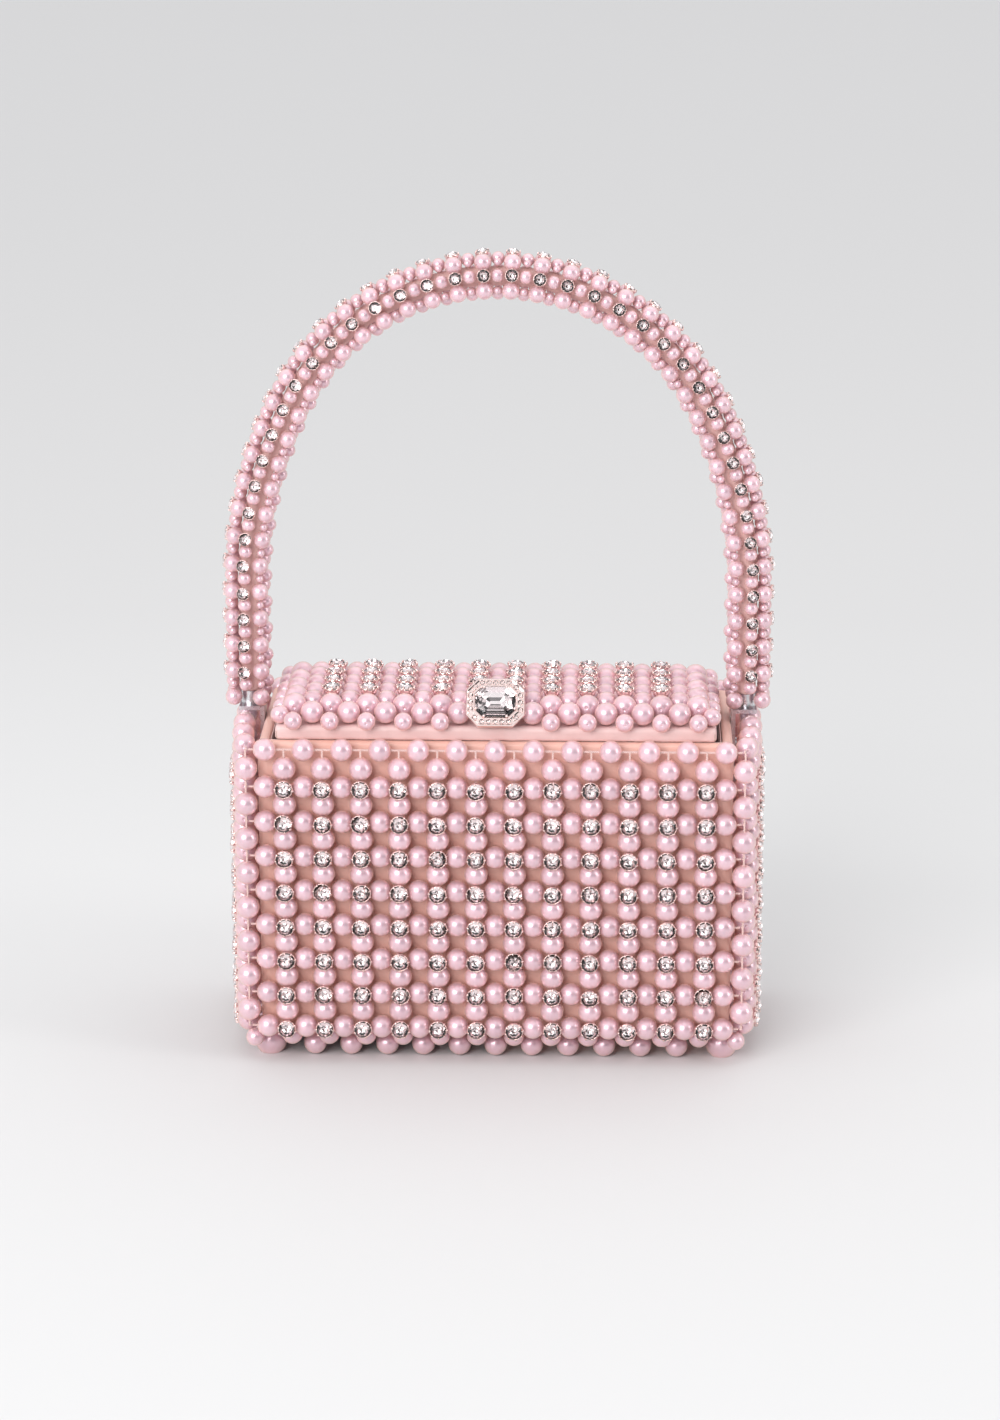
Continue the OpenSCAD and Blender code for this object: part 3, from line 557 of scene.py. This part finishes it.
def brilliant_shape():
    """A round brilliant of girdle radius 1 with its girdle at z = 0: glass above, foil below."""
    shape = Shape()
    table_r, table_z, star_z, culet = 0.56, 0.36, 0.25, -0.72
    girdle = 0.05
    points = []

    def ring(radius, height, count, turn):
        start = len(points)
        for k in range(count):
            a = 2 * math.pi * (k + turn) / count
            points.append((radius * math.cos(a), radius * math.sin(a), height))
        return [start + k for k in range(count)]

    table = ring(table_r, table_z, 8, 0)
    kites = ring(0.8, star_z * 0.86, 8, 0.5)
    edge = ring(1.0, girdle, 16, 0)
    crown = [tuple(table)]
    for k in range(8):
        j = (k + 1) % 8
        crown.append((table[k], kites[k], table[j]))
        before = kites[k - 1]
        crown.append((table[k], before, edge[2 * k], kites[k]))
        crown.append((kites[k], edge[2 * k], edge[2 * k + 1]))
        crown.append((kites[k], edge[2 * k + 1], edge[(2 * k + 2) % 16]))
    shape.add(points, crown, 0, False)
    points = []
    edge = ring(1.0, girdle, 16, 0)
    rim = ring(1.0, -girdle, 16, 0)
    mains = ring(0.34, culet * 0.66, 8, 0)
    tip = ring(0.05, culet, 8, 0)
    back = [tuple(reversed(tip))]
    band = [(edge[k], rim[k], rim[(k + 1) % 16], edge[(k + 1) % 16]) for k in range(16)]
    for k in range(8):
        j = (k + 1) % 8
        back.append((rim[2 * k], mains[k], rim[2 * k + 1]))
        back.append((rim[2 * k + 1], mains[j], rim[(2 * k + 2) % 16]))
        back.append((rim[2 * k + 1], mains[k], tip[k], tip[j], mains[j]))
    flat = [f for f in back if len(f) < 5 or len(f) == 8]
    flat += [(f[0], f[1], f[4]) for f in back if len(f) == 5]
    flat += [(f[1], f[2], f[3], f[4]) for f in back if len(f) == 5]
    shape.add(points, flat, 1, False)
    shape.add(points, band, 1, False)
    return shape


def cup_shape(claws):
    """A turned cup of rim radius 1 with its foot at z = 0 and claws bent over the stone."""
    shape = Shape()
    outside = [(0.02, 0.0), (0.5, 0.0), (0.66, 0.06), (0.86, 0.42), (0.97, 0.78), (0.98, 0.98)]
    rim_and_inside = [(0.93, 1.02), (0.88, 0.98), (0.86, 0.8), (0.5, 0.3), (0.02, 0.28)]
    shape.add(*lathe(outside + rim_and_inside, 24))
    for k in range(claws):
        a = 2 * math.pi * k / claws
        out, side = np.array([math.cos(a), math.sin(a), 0]), np.array([-math.sin(a), math.cos(a), 0])
        loops = []
        for radius, height, wide, thick in (
            (0.95, 0.78, 0.15, 0.09), (1.0, 1.02, 0.13, 0.09),
            (0.95, 1.19, 0.11, 0.08), (0.83, 1.27, 0.075, 0.05),
        ):
            middle = out * radius + np.array([0, 0, height])
            loops.append([
                tuple(middle + side * wide * sx + out * thick * sy)
                for sx, sy in ((-1, -0.6), (-0.6, 1), (0.6, 1), (1, -0.6))
            ])
        points, faces = loft(loops)
        faces += [(3, 2, 1, 0), tuple(len(points) - 4 + k for k in range(4))]
        shape.add(points, faces)
    return shape


STONE_R, GIRDLE_Z = 0.86, 1.04       # the stone in a cup of rim radius 1
CUP_LEAN, STONE_LEAN = 0.05, 0.035   # spread of a cup's axis, and of its stone's in the cup


def stones(cup_node, stone_node, body, claws=8):
    """Brilliants and their clawed cups in place of the plain ones."""
    cup_places, stone_places = [], []
    for foot, axis, radius in seats(cup_node, stone_node):
        lean = axis + RNG.normal(0, CUP_LEAN, 3)
        roll = RNG.uniform(0, 2 * math.pi)
        cup_places.append((frame_of(lean, roll), radius, foot))
        tilt = frame_of(lean + RNG.normal(0, STONE_LEAN, 3), roll + RNG.uniform(0, 0.5))
        middle = foot + axis * radius * GIRDLE_Z
        stone_places.append((tilt, radius * STONE_R, middle))
    cups = make(cup_node + "_clawed", placed(cup_shape(claws), cup_places), [CUP])
    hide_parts(cup_node)
    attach(cups, body)
    cut = make(stone_node + "_cut", placed(brilliant_shape(), stone_places), [GLASS, FOIL])
    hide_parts(stone_node)
    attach(cut, body)


stones("front_cups", "front_crystals", "case")
stones("back_cups", "back_crystals", "case")
stones("side_cups", "side_crystals", "case")
stones("lid_cups", "lid_crystals", "lid")
stones("handle_cups", "handle_crystals", "case", 6)


# ---- satin on the case ----


def box_of(node):
    low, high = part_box(node)
    return np.array(low), np.array(high)


COVER_LOW, COVER_HIGH = box_of("satin_cover")
LINING_LOW, LINING_HIGH = box_of("lining")
CORNER_R = 1.5 * MM
SATIN_STEP = 2.2 * MM
CELL_SWELL, LOOSE_SWELL = 0.3 * MM, 0.12 * MM
RIM_LIP, RIM_HEM = 1.5 * MM, 3 * MM


def chamfer_slopes():
    """How far the cover's sides stand out from 45 degrees at the bottom, across and deep."""
    points, _ = points_of("satin_cover")
    foot = np.abs(points[points[:, 2] < COVER_LOW[2] + 0.05 * MM])
    return foot[:, 0].max() - COVER_LOW[2], foot[:, 1].max() - COVER_LOW[2]


def net_grid():
    """Pitch of the front net's stones, across and up, and the height of its lowest row."""
    feet = np.array([foot for foot, _, _ in seats("front_cups", "front_crystals")])
    xs, zs = np.unique(feet[:, 0].round(4)), np.unique(feet[:, 2].round(4))
    return np.diff(xs).mean(), np.diff(zs).mean(), xs[0], zs[0]


def case_satin():
    """The outer satin, drawn tight over the boards, swelling a little in the net's cells."""
    slope_x, slope_y = chamfer_slopes()
    pitch_x, pitch_z, x0, z0 = net_grid()
    half_x, half_y = COVER_HIGH[0], COVER_HIGH[1]
    low, top = COVER_LOW[2], COVER_HIGH[2]
    across, deep = round(2 * half_x / SATIN_STEP), round(2 * half_y / SATIN_STEP)
    levels = np.linspace(low, top - 1.6 * MM, round((top - low) / SATIN_STEP))
    ripple = waves(9, 5 * MM, 40 * MM, 3)

    def swell(along, z, phase):
        cell = math.sin(math.pi * (along - phase) / pitch_x) * math.sin(math.pi * (z - z0) / pitch_z)
        return CELL_SWELL * abs(cell) + LOOSE_SWELL * ripple(along + 0.7 * z)

    def loop_at(z, grow, corner):
        loop = []
        reach_x, reach_y = min(half_x, z + slope_x), min(half_y, z + slope_y)
        for x, y in round_rect(half_x, half_y, corner, across, deep):
            edge = min(1.0, (top - z) / (4 * MM), (z - low) / (3 * MM))
            on_front = abs(y) >= half_y - 1e-9
            on_side = abs(x) >= half_x - 1e-9
            push = edge * (swell(x, z, x0) if on_front else swell(y, z, 0.0) if on_side else 0.0)
            px, py = x + math.copysign(push, x) * on_side, y + math.copysign(push, y) * on_front
            px = math.copysign(min(abs(px), reach_x + push), x)
            py = math.copysign(min(abs(py), reach_y + push), y)
            loop.append((px * (1 - grow / half_x), py * (1 - grow / half_y), z))
        return loop

    loops = [loop_at(z, 0.0, CORNER_R) for z in levels]
    for k in range(1, 6):
        a = math.radians(90 * k / 5)
        level = top - RIM_LIP + RIM_LIP * math.sin(a)
        loops.append([(x, y, level) for x, y, _ in loop_at(top, RIM_LIP * (1 - math.cos(a)), CORNER_R)])
    wall = COVER_HIGH[1] - LINING_HIGH[1]
    turn_in = (
        (0.55 * wall, -0.1 * MM), (wall - 0.4 * MM, 0.0), (wall, 0.5 * MM), (wall + 0.05 * MM, RIM_HEM),
    )
    for grow, drop in turn_in:
        loops.append([(x, y, top - drop) for x, y, _ in loop_at(top, grow, CORNER_R)])
    points, faces = loft(loops)
    faces.append(tuple(reversed(range(len(loops[0])))))
    piece = single("case_satin", Shape().add(points, faces), [SATIN])
    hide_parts("satin_cover")
    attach(piece, "case")


def case_lining():
    """The lining: four walls and a floor, a little loose, with soft folds near the bottom."""
    top, low = LINING_HIGH[2] - 0.4 * MM, LINING_LOW[2] + 0.6 * MM
    half_x, half_y = LINING_HIGH[0] - 0.5 * MM, LINING_HIGH[1] - 0.5 * MM
    across, deep = round(2 * half_x / SATIN_STEP), round(2 * half_y / SATIN_STEP)
    fold = waves(12, 6 * MM, 45 * MM, 8)
    base = round_rect(half_x, half_y, 1.5 * MM, across, deep)
    loops = []
    for z in np.linspace(top, low + 2 * MM, 44):
        loop = []
        for x, y in base:
            give = 0.35 * MM * (1 + fold((x + y) + 0.25 * z)) * min(1.0, (top - z) / (8 * MM))
            loop.append((x * (1 - give / half_x), y * (1 - give / half_y), z))
        loops.append(loop)
    for inset, rise in ((0.7 * MM, 0.8 * MM), (2.2 * MM, 0.1 * MM)):
        loops.append([(x * (1 - inset / half_x), y * (1 - inset / half_y), low + rise) for x, y in base])
    steps = 14
    for k in range(1, steps):
        t = 1 - k / steps
        rise = 0.25 * MM * math.sin(math.pi * t)
        loops.append([(x * t, y * t, low + rise * (1 + fold(x * t + 2 * y * t))) for x, y in base])
    points, faces = loft(loops)
    faces.append(tuple((len(loops) - 1) * len(base) + k for k in range(len(base))))
    piece = single("case_lining", Shape().add(points, faces), [LINING])
    shell = piece.modifiers.new("thickness", "SOLIDIFY")
    shell.thickness = 0.3 * MM
    shell.offset = 1.0
    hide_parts("lining")
    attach(piece, "case")


case_satin()
case_lining()


# ---- the lid's satin ----


def lid_satin():
    """The padded lid: soft edges, a raised middle and small puckers along the front strip."""
    low, high = box_of("lid_cover")
    edge_top = box_of("lid_padding")[0][2] + 0.5 * MM
    pad_low, pad_high = box_of("lid_padding")
    half_x, half_y = (high[0] - low[0]) / 2, (high[1] - low[1]) / 2
    mid_y = (high[1] + low[1]) / 2
    pad_half_x = pad_high[0] + 0.5 * MM
    across, deep = round(2 * half_x / (1.1 * MM)), round(2 * half_y / (1.6 * MM))
    pucker, drift = waves(14, 1.6 * MM, 9 * MM, 5), waves(6, 12 * MM, 60 * MM, 6)
    corner, edge_r = 2.0 * MM, 1.7 * MM

    def crease(x, y):
        near = max(0.0, 1 - (y - low[1]) / (6 * MM)) if y < mid_y else 0.25
        sharp = math.copysign(abs(pucker(x)) ** 0.7, pucker(x)) * (0.55 + 0.45 * drift(x))
        return 0.28 * MM * near * sharp

    def height(x, y):
        """Top of the satin: level at the edges, raised over the wadding."""
        soft = 2.2 * MM
        inside = min(pad_half_x - abs(x), y - pad_low[1] + 0.5 * MM, pad_high[1] + 0.5 * MM - y)
        t = min(1.0, max(0.0, 0.5 + inside / (2 * soft)))
        return edge_top + (high[2] - edge_top) * t * t * (3 - 2 * t)

    def ring(inset, z=None):
        made = []
        reach_x, reach_y = half_x - inset, half_y - inset
        for x, y in round_rect(reach_x, reach_y, max(0.3 * MM, corner - inset), across, deep):
            wy = y + mid_y
            level = height(x, wy) if z is None else z
            on_front = y <= -reach_y + 1e-9
            push = crease(x, wy)
            outward = push if on_front and inset < edge_r else 0
            made.append((x, wy + outward, level + (push if z is None else 0)))
        return made

    foot = low[2]
    under = ((1.6, 0.05), (0.4, 0.1), (0.1, 0.5))    # inset and height of the turned-under edge, in mm
    loops = [ring(inset * MM, foot + rise * MM) for inset, rise in under]
    for z in np.linspace(foot + 1.0 * MM, edge_top - edge_r, 5):
        loops.append(ring(0.0, z))
    for k in range(1, 5):
        a = math.radians(90 * k / 5)
        loops.append(ring(edge_r * (1 - math.cos(a)), edge_top - edge_r + edge_r * math.sin(a)))
    insets = list(np.linspace(edge_r, 14 * MM, 22)) + list(np.linspace(15.5 * MM, half_y - 1.2 * MM, 9))
    for inset in insets:
        loops.append(ring(inset))
    points, faces = loft(loops)
    count = len(loops[0])
    faces.append(tuple(reversed(range(count))))
    faces.append(tuple((len(loops) - 1) * count + k for k in range(count)))
    piece = single("lid_satin", Shape().add(points, faces), [LID_SATIN])
    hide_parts("lid_cover")
    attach(piece, "lid")


lid_satin()


# ---- the handle's ribbon ----


def handle_line():
    """The handle's centre line, from the rings of points round the core wire."""
    points, _ = points_of("handle_wire")
    pole = np.array([0.0, 0.0, points[:, 2].min() - 6 * MM])
    angle = np.arctan2(points[:, 2] - pole[2], -points[:, 0])
    ordered = points[np.argsort(angle)]
    sides = 12
    rings = len(ordered) // sides
    middles = ordered[: rings * sides].reshape(rings, sides, 3).mean(1)
    floor = box_of("handle_sleeve")[0][2]
    return middles[middles[:, 2] > floor + 2 * MM]


def handle_ribbon():
    """Satin ribbon wound round the handle: each turn laps the one before."""
    line = handle_line()
    low, high = box_of("handle_sleeve")
    radius = (high[1] - low[1]) / 2
    feet = [np.array([line[0][0], 0, low[2]]), np.array([line[-1][0], 0, low[2]])]
    line = np.vstack([feet[0], line, feet[1]])
    gaps = np.linalg.norm(np.diff(line, axis=0), axis=1)
    far = np.concatenate([[0], np.cumsum(gaps)])
    steps, sides, lap = 420, 20, 7.5 * MM
    at = np.linspace(0, far[-1], steps)
    middles = np.column_stack([np.interp(at, far, line[:, k]) for k in range(3)])
    loops = []
    for k, middle in enumerate(middles):
        ahead = middles[min(k + 1, steps - 1)] - middles[max(k - 1, 0)]
        ahead /= np.linalg.norm(ahead)
        out = np.cross(ahead, (0, 1, 0))
        loop = []
        for j in range(sides):
            a = 2 * math.pi * j / sides
            turn = ((at[k] / lap) - j / sides) % 1.0
            r = radius - 0.35 * MM * (1 - turn) ** 3 - 0.05 * MM
            loop.append(tuple(middle + r * (math.cos(a) * out + math.sin(a) * np.array([0, 1, 0]))))
        loops.append(loop)
    points, faces = loft(loops)
    faces += [tuple(reversed(range(sides))), tuple(len(points) - sides + k for k in range(sides))]
    piece = single("handle_ribbon", Shape().add(points, faces), [RIBBON])
    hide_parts("handle_sleeve")
    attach(piece, "case")


handle_ribbon()


# ---- the clasp ----


def jewel_frame():
    """Middle of the stone's back, its axes as columns, and its half width and height."""
    points, triangles = points_of("clasp_crystal")
    a, b, c = (points[triangles[:, k]] for k in range(3))
    areas = np.cross(b - a, c - a) / 2
    size = np.linalg.norm(areas, axis=1)
    ways = (areas / np.maximum(size, 1e-12)[:, None]).round(2)
    distinct, same = np.unique(ways, axis=0, return_inverse=True)
    axis = -distinct[np.argmax(np.bincount(same.ravel(), size))]
    axis /= np.linalg.norm(axis)
    if axis[2] < 0:
        axis = -axis
    across = np.array([1.0, 0, 0])
    up = np.cross(axis, across)
    along = points @ axis
    back = points[along < along.min() + 0.05 * MM]
    middle = (back.min(0) + back.max(0)) / 2
    half = np.abs((back - middle) @ np.column_stack([across, up])).max(0)
    return middle, np.column_stack([across, up, axis]), half


def octagon(half_w, half_h, cut):
    """Eight corners, counter-clockwise from the lower right."""
    w, h = half_w, half_h
    right = [(w - cut, -h), (w, cut - h), (w, h - cut), (w - cut, h)]
    return right + [(-x, -y) for x, y in right]


def clasp():
    middle, axes, half = jewel_frame()
    w, h = half
    cut = 2.8 * MM

    def level(shrink, z):
        """An octagon inside the stone's outline by shrink, at a height over its back."""
        return [(x, y, z) for x, y in octagon(w - shrink, h - shrink, max(0.4 * MM, cut - 0.6 * shrink))]

    girdle = 2.5 * MM
    crown = [level(0.0, girdle), level(0.9 * MM, girdle + 0.75 * MM), level(1.75 * MM, girdle + 1.2 * MM),
             level(2.3 * MM, girdle + 1.4 * MM)]
    stone = Shape()
    points, faces = loft(crown)
    faces.append(tuple(len(points) - 8 + k for k in range(8)))
    stone.add(points, faces, 0, False)
    keel = [level(0.0, girdle), level(0.05 * MM, girdle - 0.35 * MM), level(1.9 * MM, girdle - 1.35 * MM),
            level(3.6 * MM, girdle - 2.05 * MM), level(min(w, h) - 0.6 * MM, girdle - 2.4 * MM)]
    points, faces = loft([list(loop) for loop in reversed(keel)])
    faces.append(tuple(reversed(range(8))))
    stone.add(points, faces, 1, False)
    piece = make("clasp_step_cut", placed(stone, [(axes, 1.0, middle)]), [CLEAR, FOIL])
    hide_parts("clasp_crystal")
    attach(piece, "lid")

    # The setting: a band with rounded edges, and two claws on each corner of the stone
    points_set, _ = points_of("clasp_setting")
    local = (points_set - middle) @ axes
    outer_w, outer_h = np.abs(local[:, 0]).max(), np.abs(local[:, 1]).max()
    deep, high = local[:, 2].min(), local[:, 2].max()
    margin_w, margin_h = outer_w - w, outer_h - h
    band = []
    steps_out = (
        (0.04, high - 0.15 * MM), (0.14, high), (0.3, high - 0.02 * MM), (0.42, high - 0.28 * MM),
        (0.72, high - 0.34 * MM), (0.84, high - 0.12 * MM), (0.94, high - 0.1 * MM),
        (1.0, high - 0.35 * MM), (1.0, deep + 0.5 * MM), (0.9, deep),
    )
    for t, z in steps_out:
        corner_cut = cut + (4.2 * MM - cut) * t
        band.append([(x, y, z) for x, y in octagon(w + margin_w * t, h + margin_h * t, corner_cut)])
    band = [[(x, y, deep) for x, y, _ in band[0]]] + band
    shape = Shape()
    points, faces = loft(band + [band[0]])
    shape.add(points, faces, 0, False)
    claw_r = 0.55 * MM
    ends = octagon(w - 0.2 * MM, h - 0.2 * MM, cut)
    claw, claw_faces = lathe(
        [(0.5, -1.6), (0.75, -1.0), (1.0, 0.0), (0.95, 0.5), (0.6, 0.95), (0.15, 1.1)], 12
    )
    for x, y in ends:
        spot = np.array([x, y, girdle + 0.2 * MM])
        shape.add([tuple(np.array(p) * claw_r + spot) for p in claw], claw_faces, 0, True)
    piece = make("clasp_band", placed(shape, [(axes, 1.0, middle)]), [SETTING])
    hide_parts("clasp_setting")
    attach(piece, "lid")

    # Small stones in the band, each between four beads of metal
    places, beads = [], Shape()
    bead, bead_faces = lathe([(0.9, -0.8), (1.0, 0.0), (0.75, 0.6), (0.15, 0.95)], 8)
    for points in islands("clasp_pave"):
        spot = (points - middle) @ axes
        radius = np.ptp(spot[:, 0]) / 2
        spot = np.append((spot[:, :2].min(0) + spot[:, :2].max(0)) / 2, high - 0.02 * MM)
        places.append((axes @ frame_of((0, 0, 1), RNG.uniform(0, 6)), radius * 1.02, middle + axes @ spot))
        for k in range(4):
            a = math.pi / 4 + k * math.pi / 2
            edge = spot + np.array([math.cos(a), math.sin(a), 0]) * radius * 1.08
            beads.add([tuple(np.array(p) * 0.26 * MM + edge) for p in bead], bead_faces)
    piece = make("clasp_pave_cut", placed(brilliant_shape(), places), [GLASS, FOIL])
    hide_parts("clasp_pave")
    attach(piece, "lid")
    piece = make("clasp_pave_beads", placed(beads, [(axes, 1.0, middle)]), [SETTING])
    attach(piece, "lid")


clasp()


# ---- the frame's own parts ----

FINISHES = {
    "front_board": BOARD, "back_board": BOARD, "left_board": BOARD, "right_board": BOARD,
    "bottom_board": BOARD,
    "lid_board": BOARD, "lid_padding": WADDING, "case_thread": THREAD, "lid_thread": THREAD,
    "case_magnet": MAGNET, "lid_magnet": MAGNET, "clasp_plate": SETTING,
    "hinge_case_leaves": STEEL, "hinge_lid_leaves": STEEL, "hinge_pins": STEEL,
    "hinge_case_rivets": STEEL, "hinge_lid_rivets": STEEL, "handle_wire": STEEL,
    "left_anchor": STEEL, "right_anchor": STEEL, "anchor_rivets": STEEL,
}
for name, material in FINISHES.items():
    mesh = nodes[name].data
    mesh.materials.clear()
    mesh.materials.append(material)


# ---- floor, light and camera ----


def floor():
    """A wide floor with painted light in its grey: a little darker just behind the bag and lighter far
    back, where the lamps give less light.
    """
    m = Nodes("studio_floor")
    split = m.node("ShaderNodeSeparateXYZ")
    m.link(m.node("ShaderNodeTexCoord").outputs["Object"], split.inputs["Vector"])
    depth = m.node("ShaderNodeMapRange", interpolation_type="SMOOTHSTEP")
    for key, value in {"From Min": 0.0, "From Max": 3.0, "To Min": 0.0, "To Max": 1.0}.items():
        depth.inputs[key].default_value = value
    m.link(split.outputs["Y"], depth.inputs["Value"])
    # painted light: the grey dips a little behind the bag and rises far back to make up for the lamps'
    # falloff
    painted_falloff_greys = [(0.0, (0.745, 0.75, 0.745)), (0.1, (0.715, 0.715, 0.71)), (1.0, (0.765, 0.765, 0.76))]
    m.colour(m.ramp(depth.outputs["Result"], painted_falloff_greys))
    m.rough(m.span(m.noise(6.0, 2.0), 0.62, 0.7))
    m.set(Specular_IOR_Level=0.2)
    mesh = bpy.data.meshes.new("studio_floor")
    wide, near, far = 12.0, -6.0, 14.0
    corners = [(-wide, near, 0), (wide, near, 0), (wide, far, 0), (-wide, far, 0)]
    mesh.from_pydata(corners, [], [(0, 1, 2, 3)])
    mesh.materials.append(m.material)
    plane = bpy.data.objects.new("studio_floor", mesh)
    bpy.context.scene.collection.objects.link(plane)


def softbox(name, place, target, size, power, colour=(1, 1, 1)):
    light = bpy.data.lights.new(name, "AREA")
    light.shape = "RECTANGLE"
    light.size, light.size_y = size
    light.energy = power
    light.color = colour
    lamp = bpy.data.objects.new(name, light)
    lamp.location = place
    lamp.rotation_mode = "QUATERNION"
    lamp.rotation_quaternion = (Vector(target) - Vector(place)).to_track_quat("-Z", "Y")
    bpy.context.scene.collection.objects.link(lamp)


def world():
    """Soft white room, with the unlit studio behind the camera on the right."""
    made = bpy.data.worlds.new("studio")
    made.use_nodes = True
    tree = made.node_tree
    direction = tree.nodes.new("ShaderNodeTexCoord").outputs["Generated"]

    def ramp(value, stops):
        node = tree.nodes.new("ShaderNodeValToRGB")
        for element, (place, grey) in zip(node.color_ramp.elements, stops):
            element.position = place
            element.color = (grey, grey, grey * 1.01, 1)
        tree.links.new(value, node.inputs["Fac"])
        return node.outputs["Color"]

    split = tree.nodes.new("ShaderNodeSeparateXYZ")
    tree.links.new(direction, split.inputs["Vector"])
    sky = ramp(split.outputs["Z"], [(0.0, 0.55), (0.8, 1.0)])
    toward = tree.nodes.new("ShaderNodeVectorMath")
    toward.operation = "DOT_PRODUCT"
    toward.inputs[1].default_value = Vector((0.45, -0.88, 0.12)).normalized()
    tree.links.new(direction, toward.inputs[0])
    dark = ramp(toward.outputs["Value"], [(0.76, 1.0), (0.92, 0.05)])
    both = tree.nodes.new("ShaderNodeMix")
    both.data_type = "RGBA"
    both.blend_type = "MULTIPLY"
    both.inputs[0].default_value = 1.0
    tree.links.new(sky, both.inputs[6])
    tree.links.new(dark, both.inputs[7])
    back = tree.nodes["Background"]
    tree.links.new(both.outputs[2], back.inputs["Color"])
    back.inputs["Strength"].default_value = 1.0
    bpy.context.scene.world = made


def camera():
    """The photograph's view: a long lens, 16 degrees above the table."""
    elevation, azimuth = math.radians(16.0), math.radians(1.5)
    distance, aim = 1.5, Vector((0.0007, 0.0, 0.1191))
    data = bpy.data.cameras.new("camera")
    data.sensor_width = 36.0
    data.lens = 106.4
    data.clip_end = 60.0
    seen = bpy.data.objects.new("camera", data)
    level = math.cos(elevation)
    back = Vector((math.sin(azimuth) * level, -math.cos(azimuth) * level, math.sin(elevation)))
    seen.location = aim + back * distance
    seen.rotation_mode = "QUATERNION"
    seen.rotation_quaternion = (-back).to_track_quat("-Z", "Y")
    bpy.context.scene.collection.objects.link(seen)
    bpy.context.scene.camera = seen


floor()
world()
softbox("key", (-1.0, -2.0, 1.1), (0, 0, 0.12), (1.7, 1.4), 36.0, (1.0, 0.985, 0.99))
softbox("overhead", (0.3, 0.3, 1.7), (0, 0, 0.1), (1.6, 1.2), 2.0)
softbox("fill", (1.9, -0.7, 0.8), (0, 0, 0.12), (0.5, 1.2), 8.0, (1.0, 0.96, 0.95))
camera()

bpy.context.scene.view_settings.view_transform = "Standard"
bpy.context.scene.view_settings.look = "None"
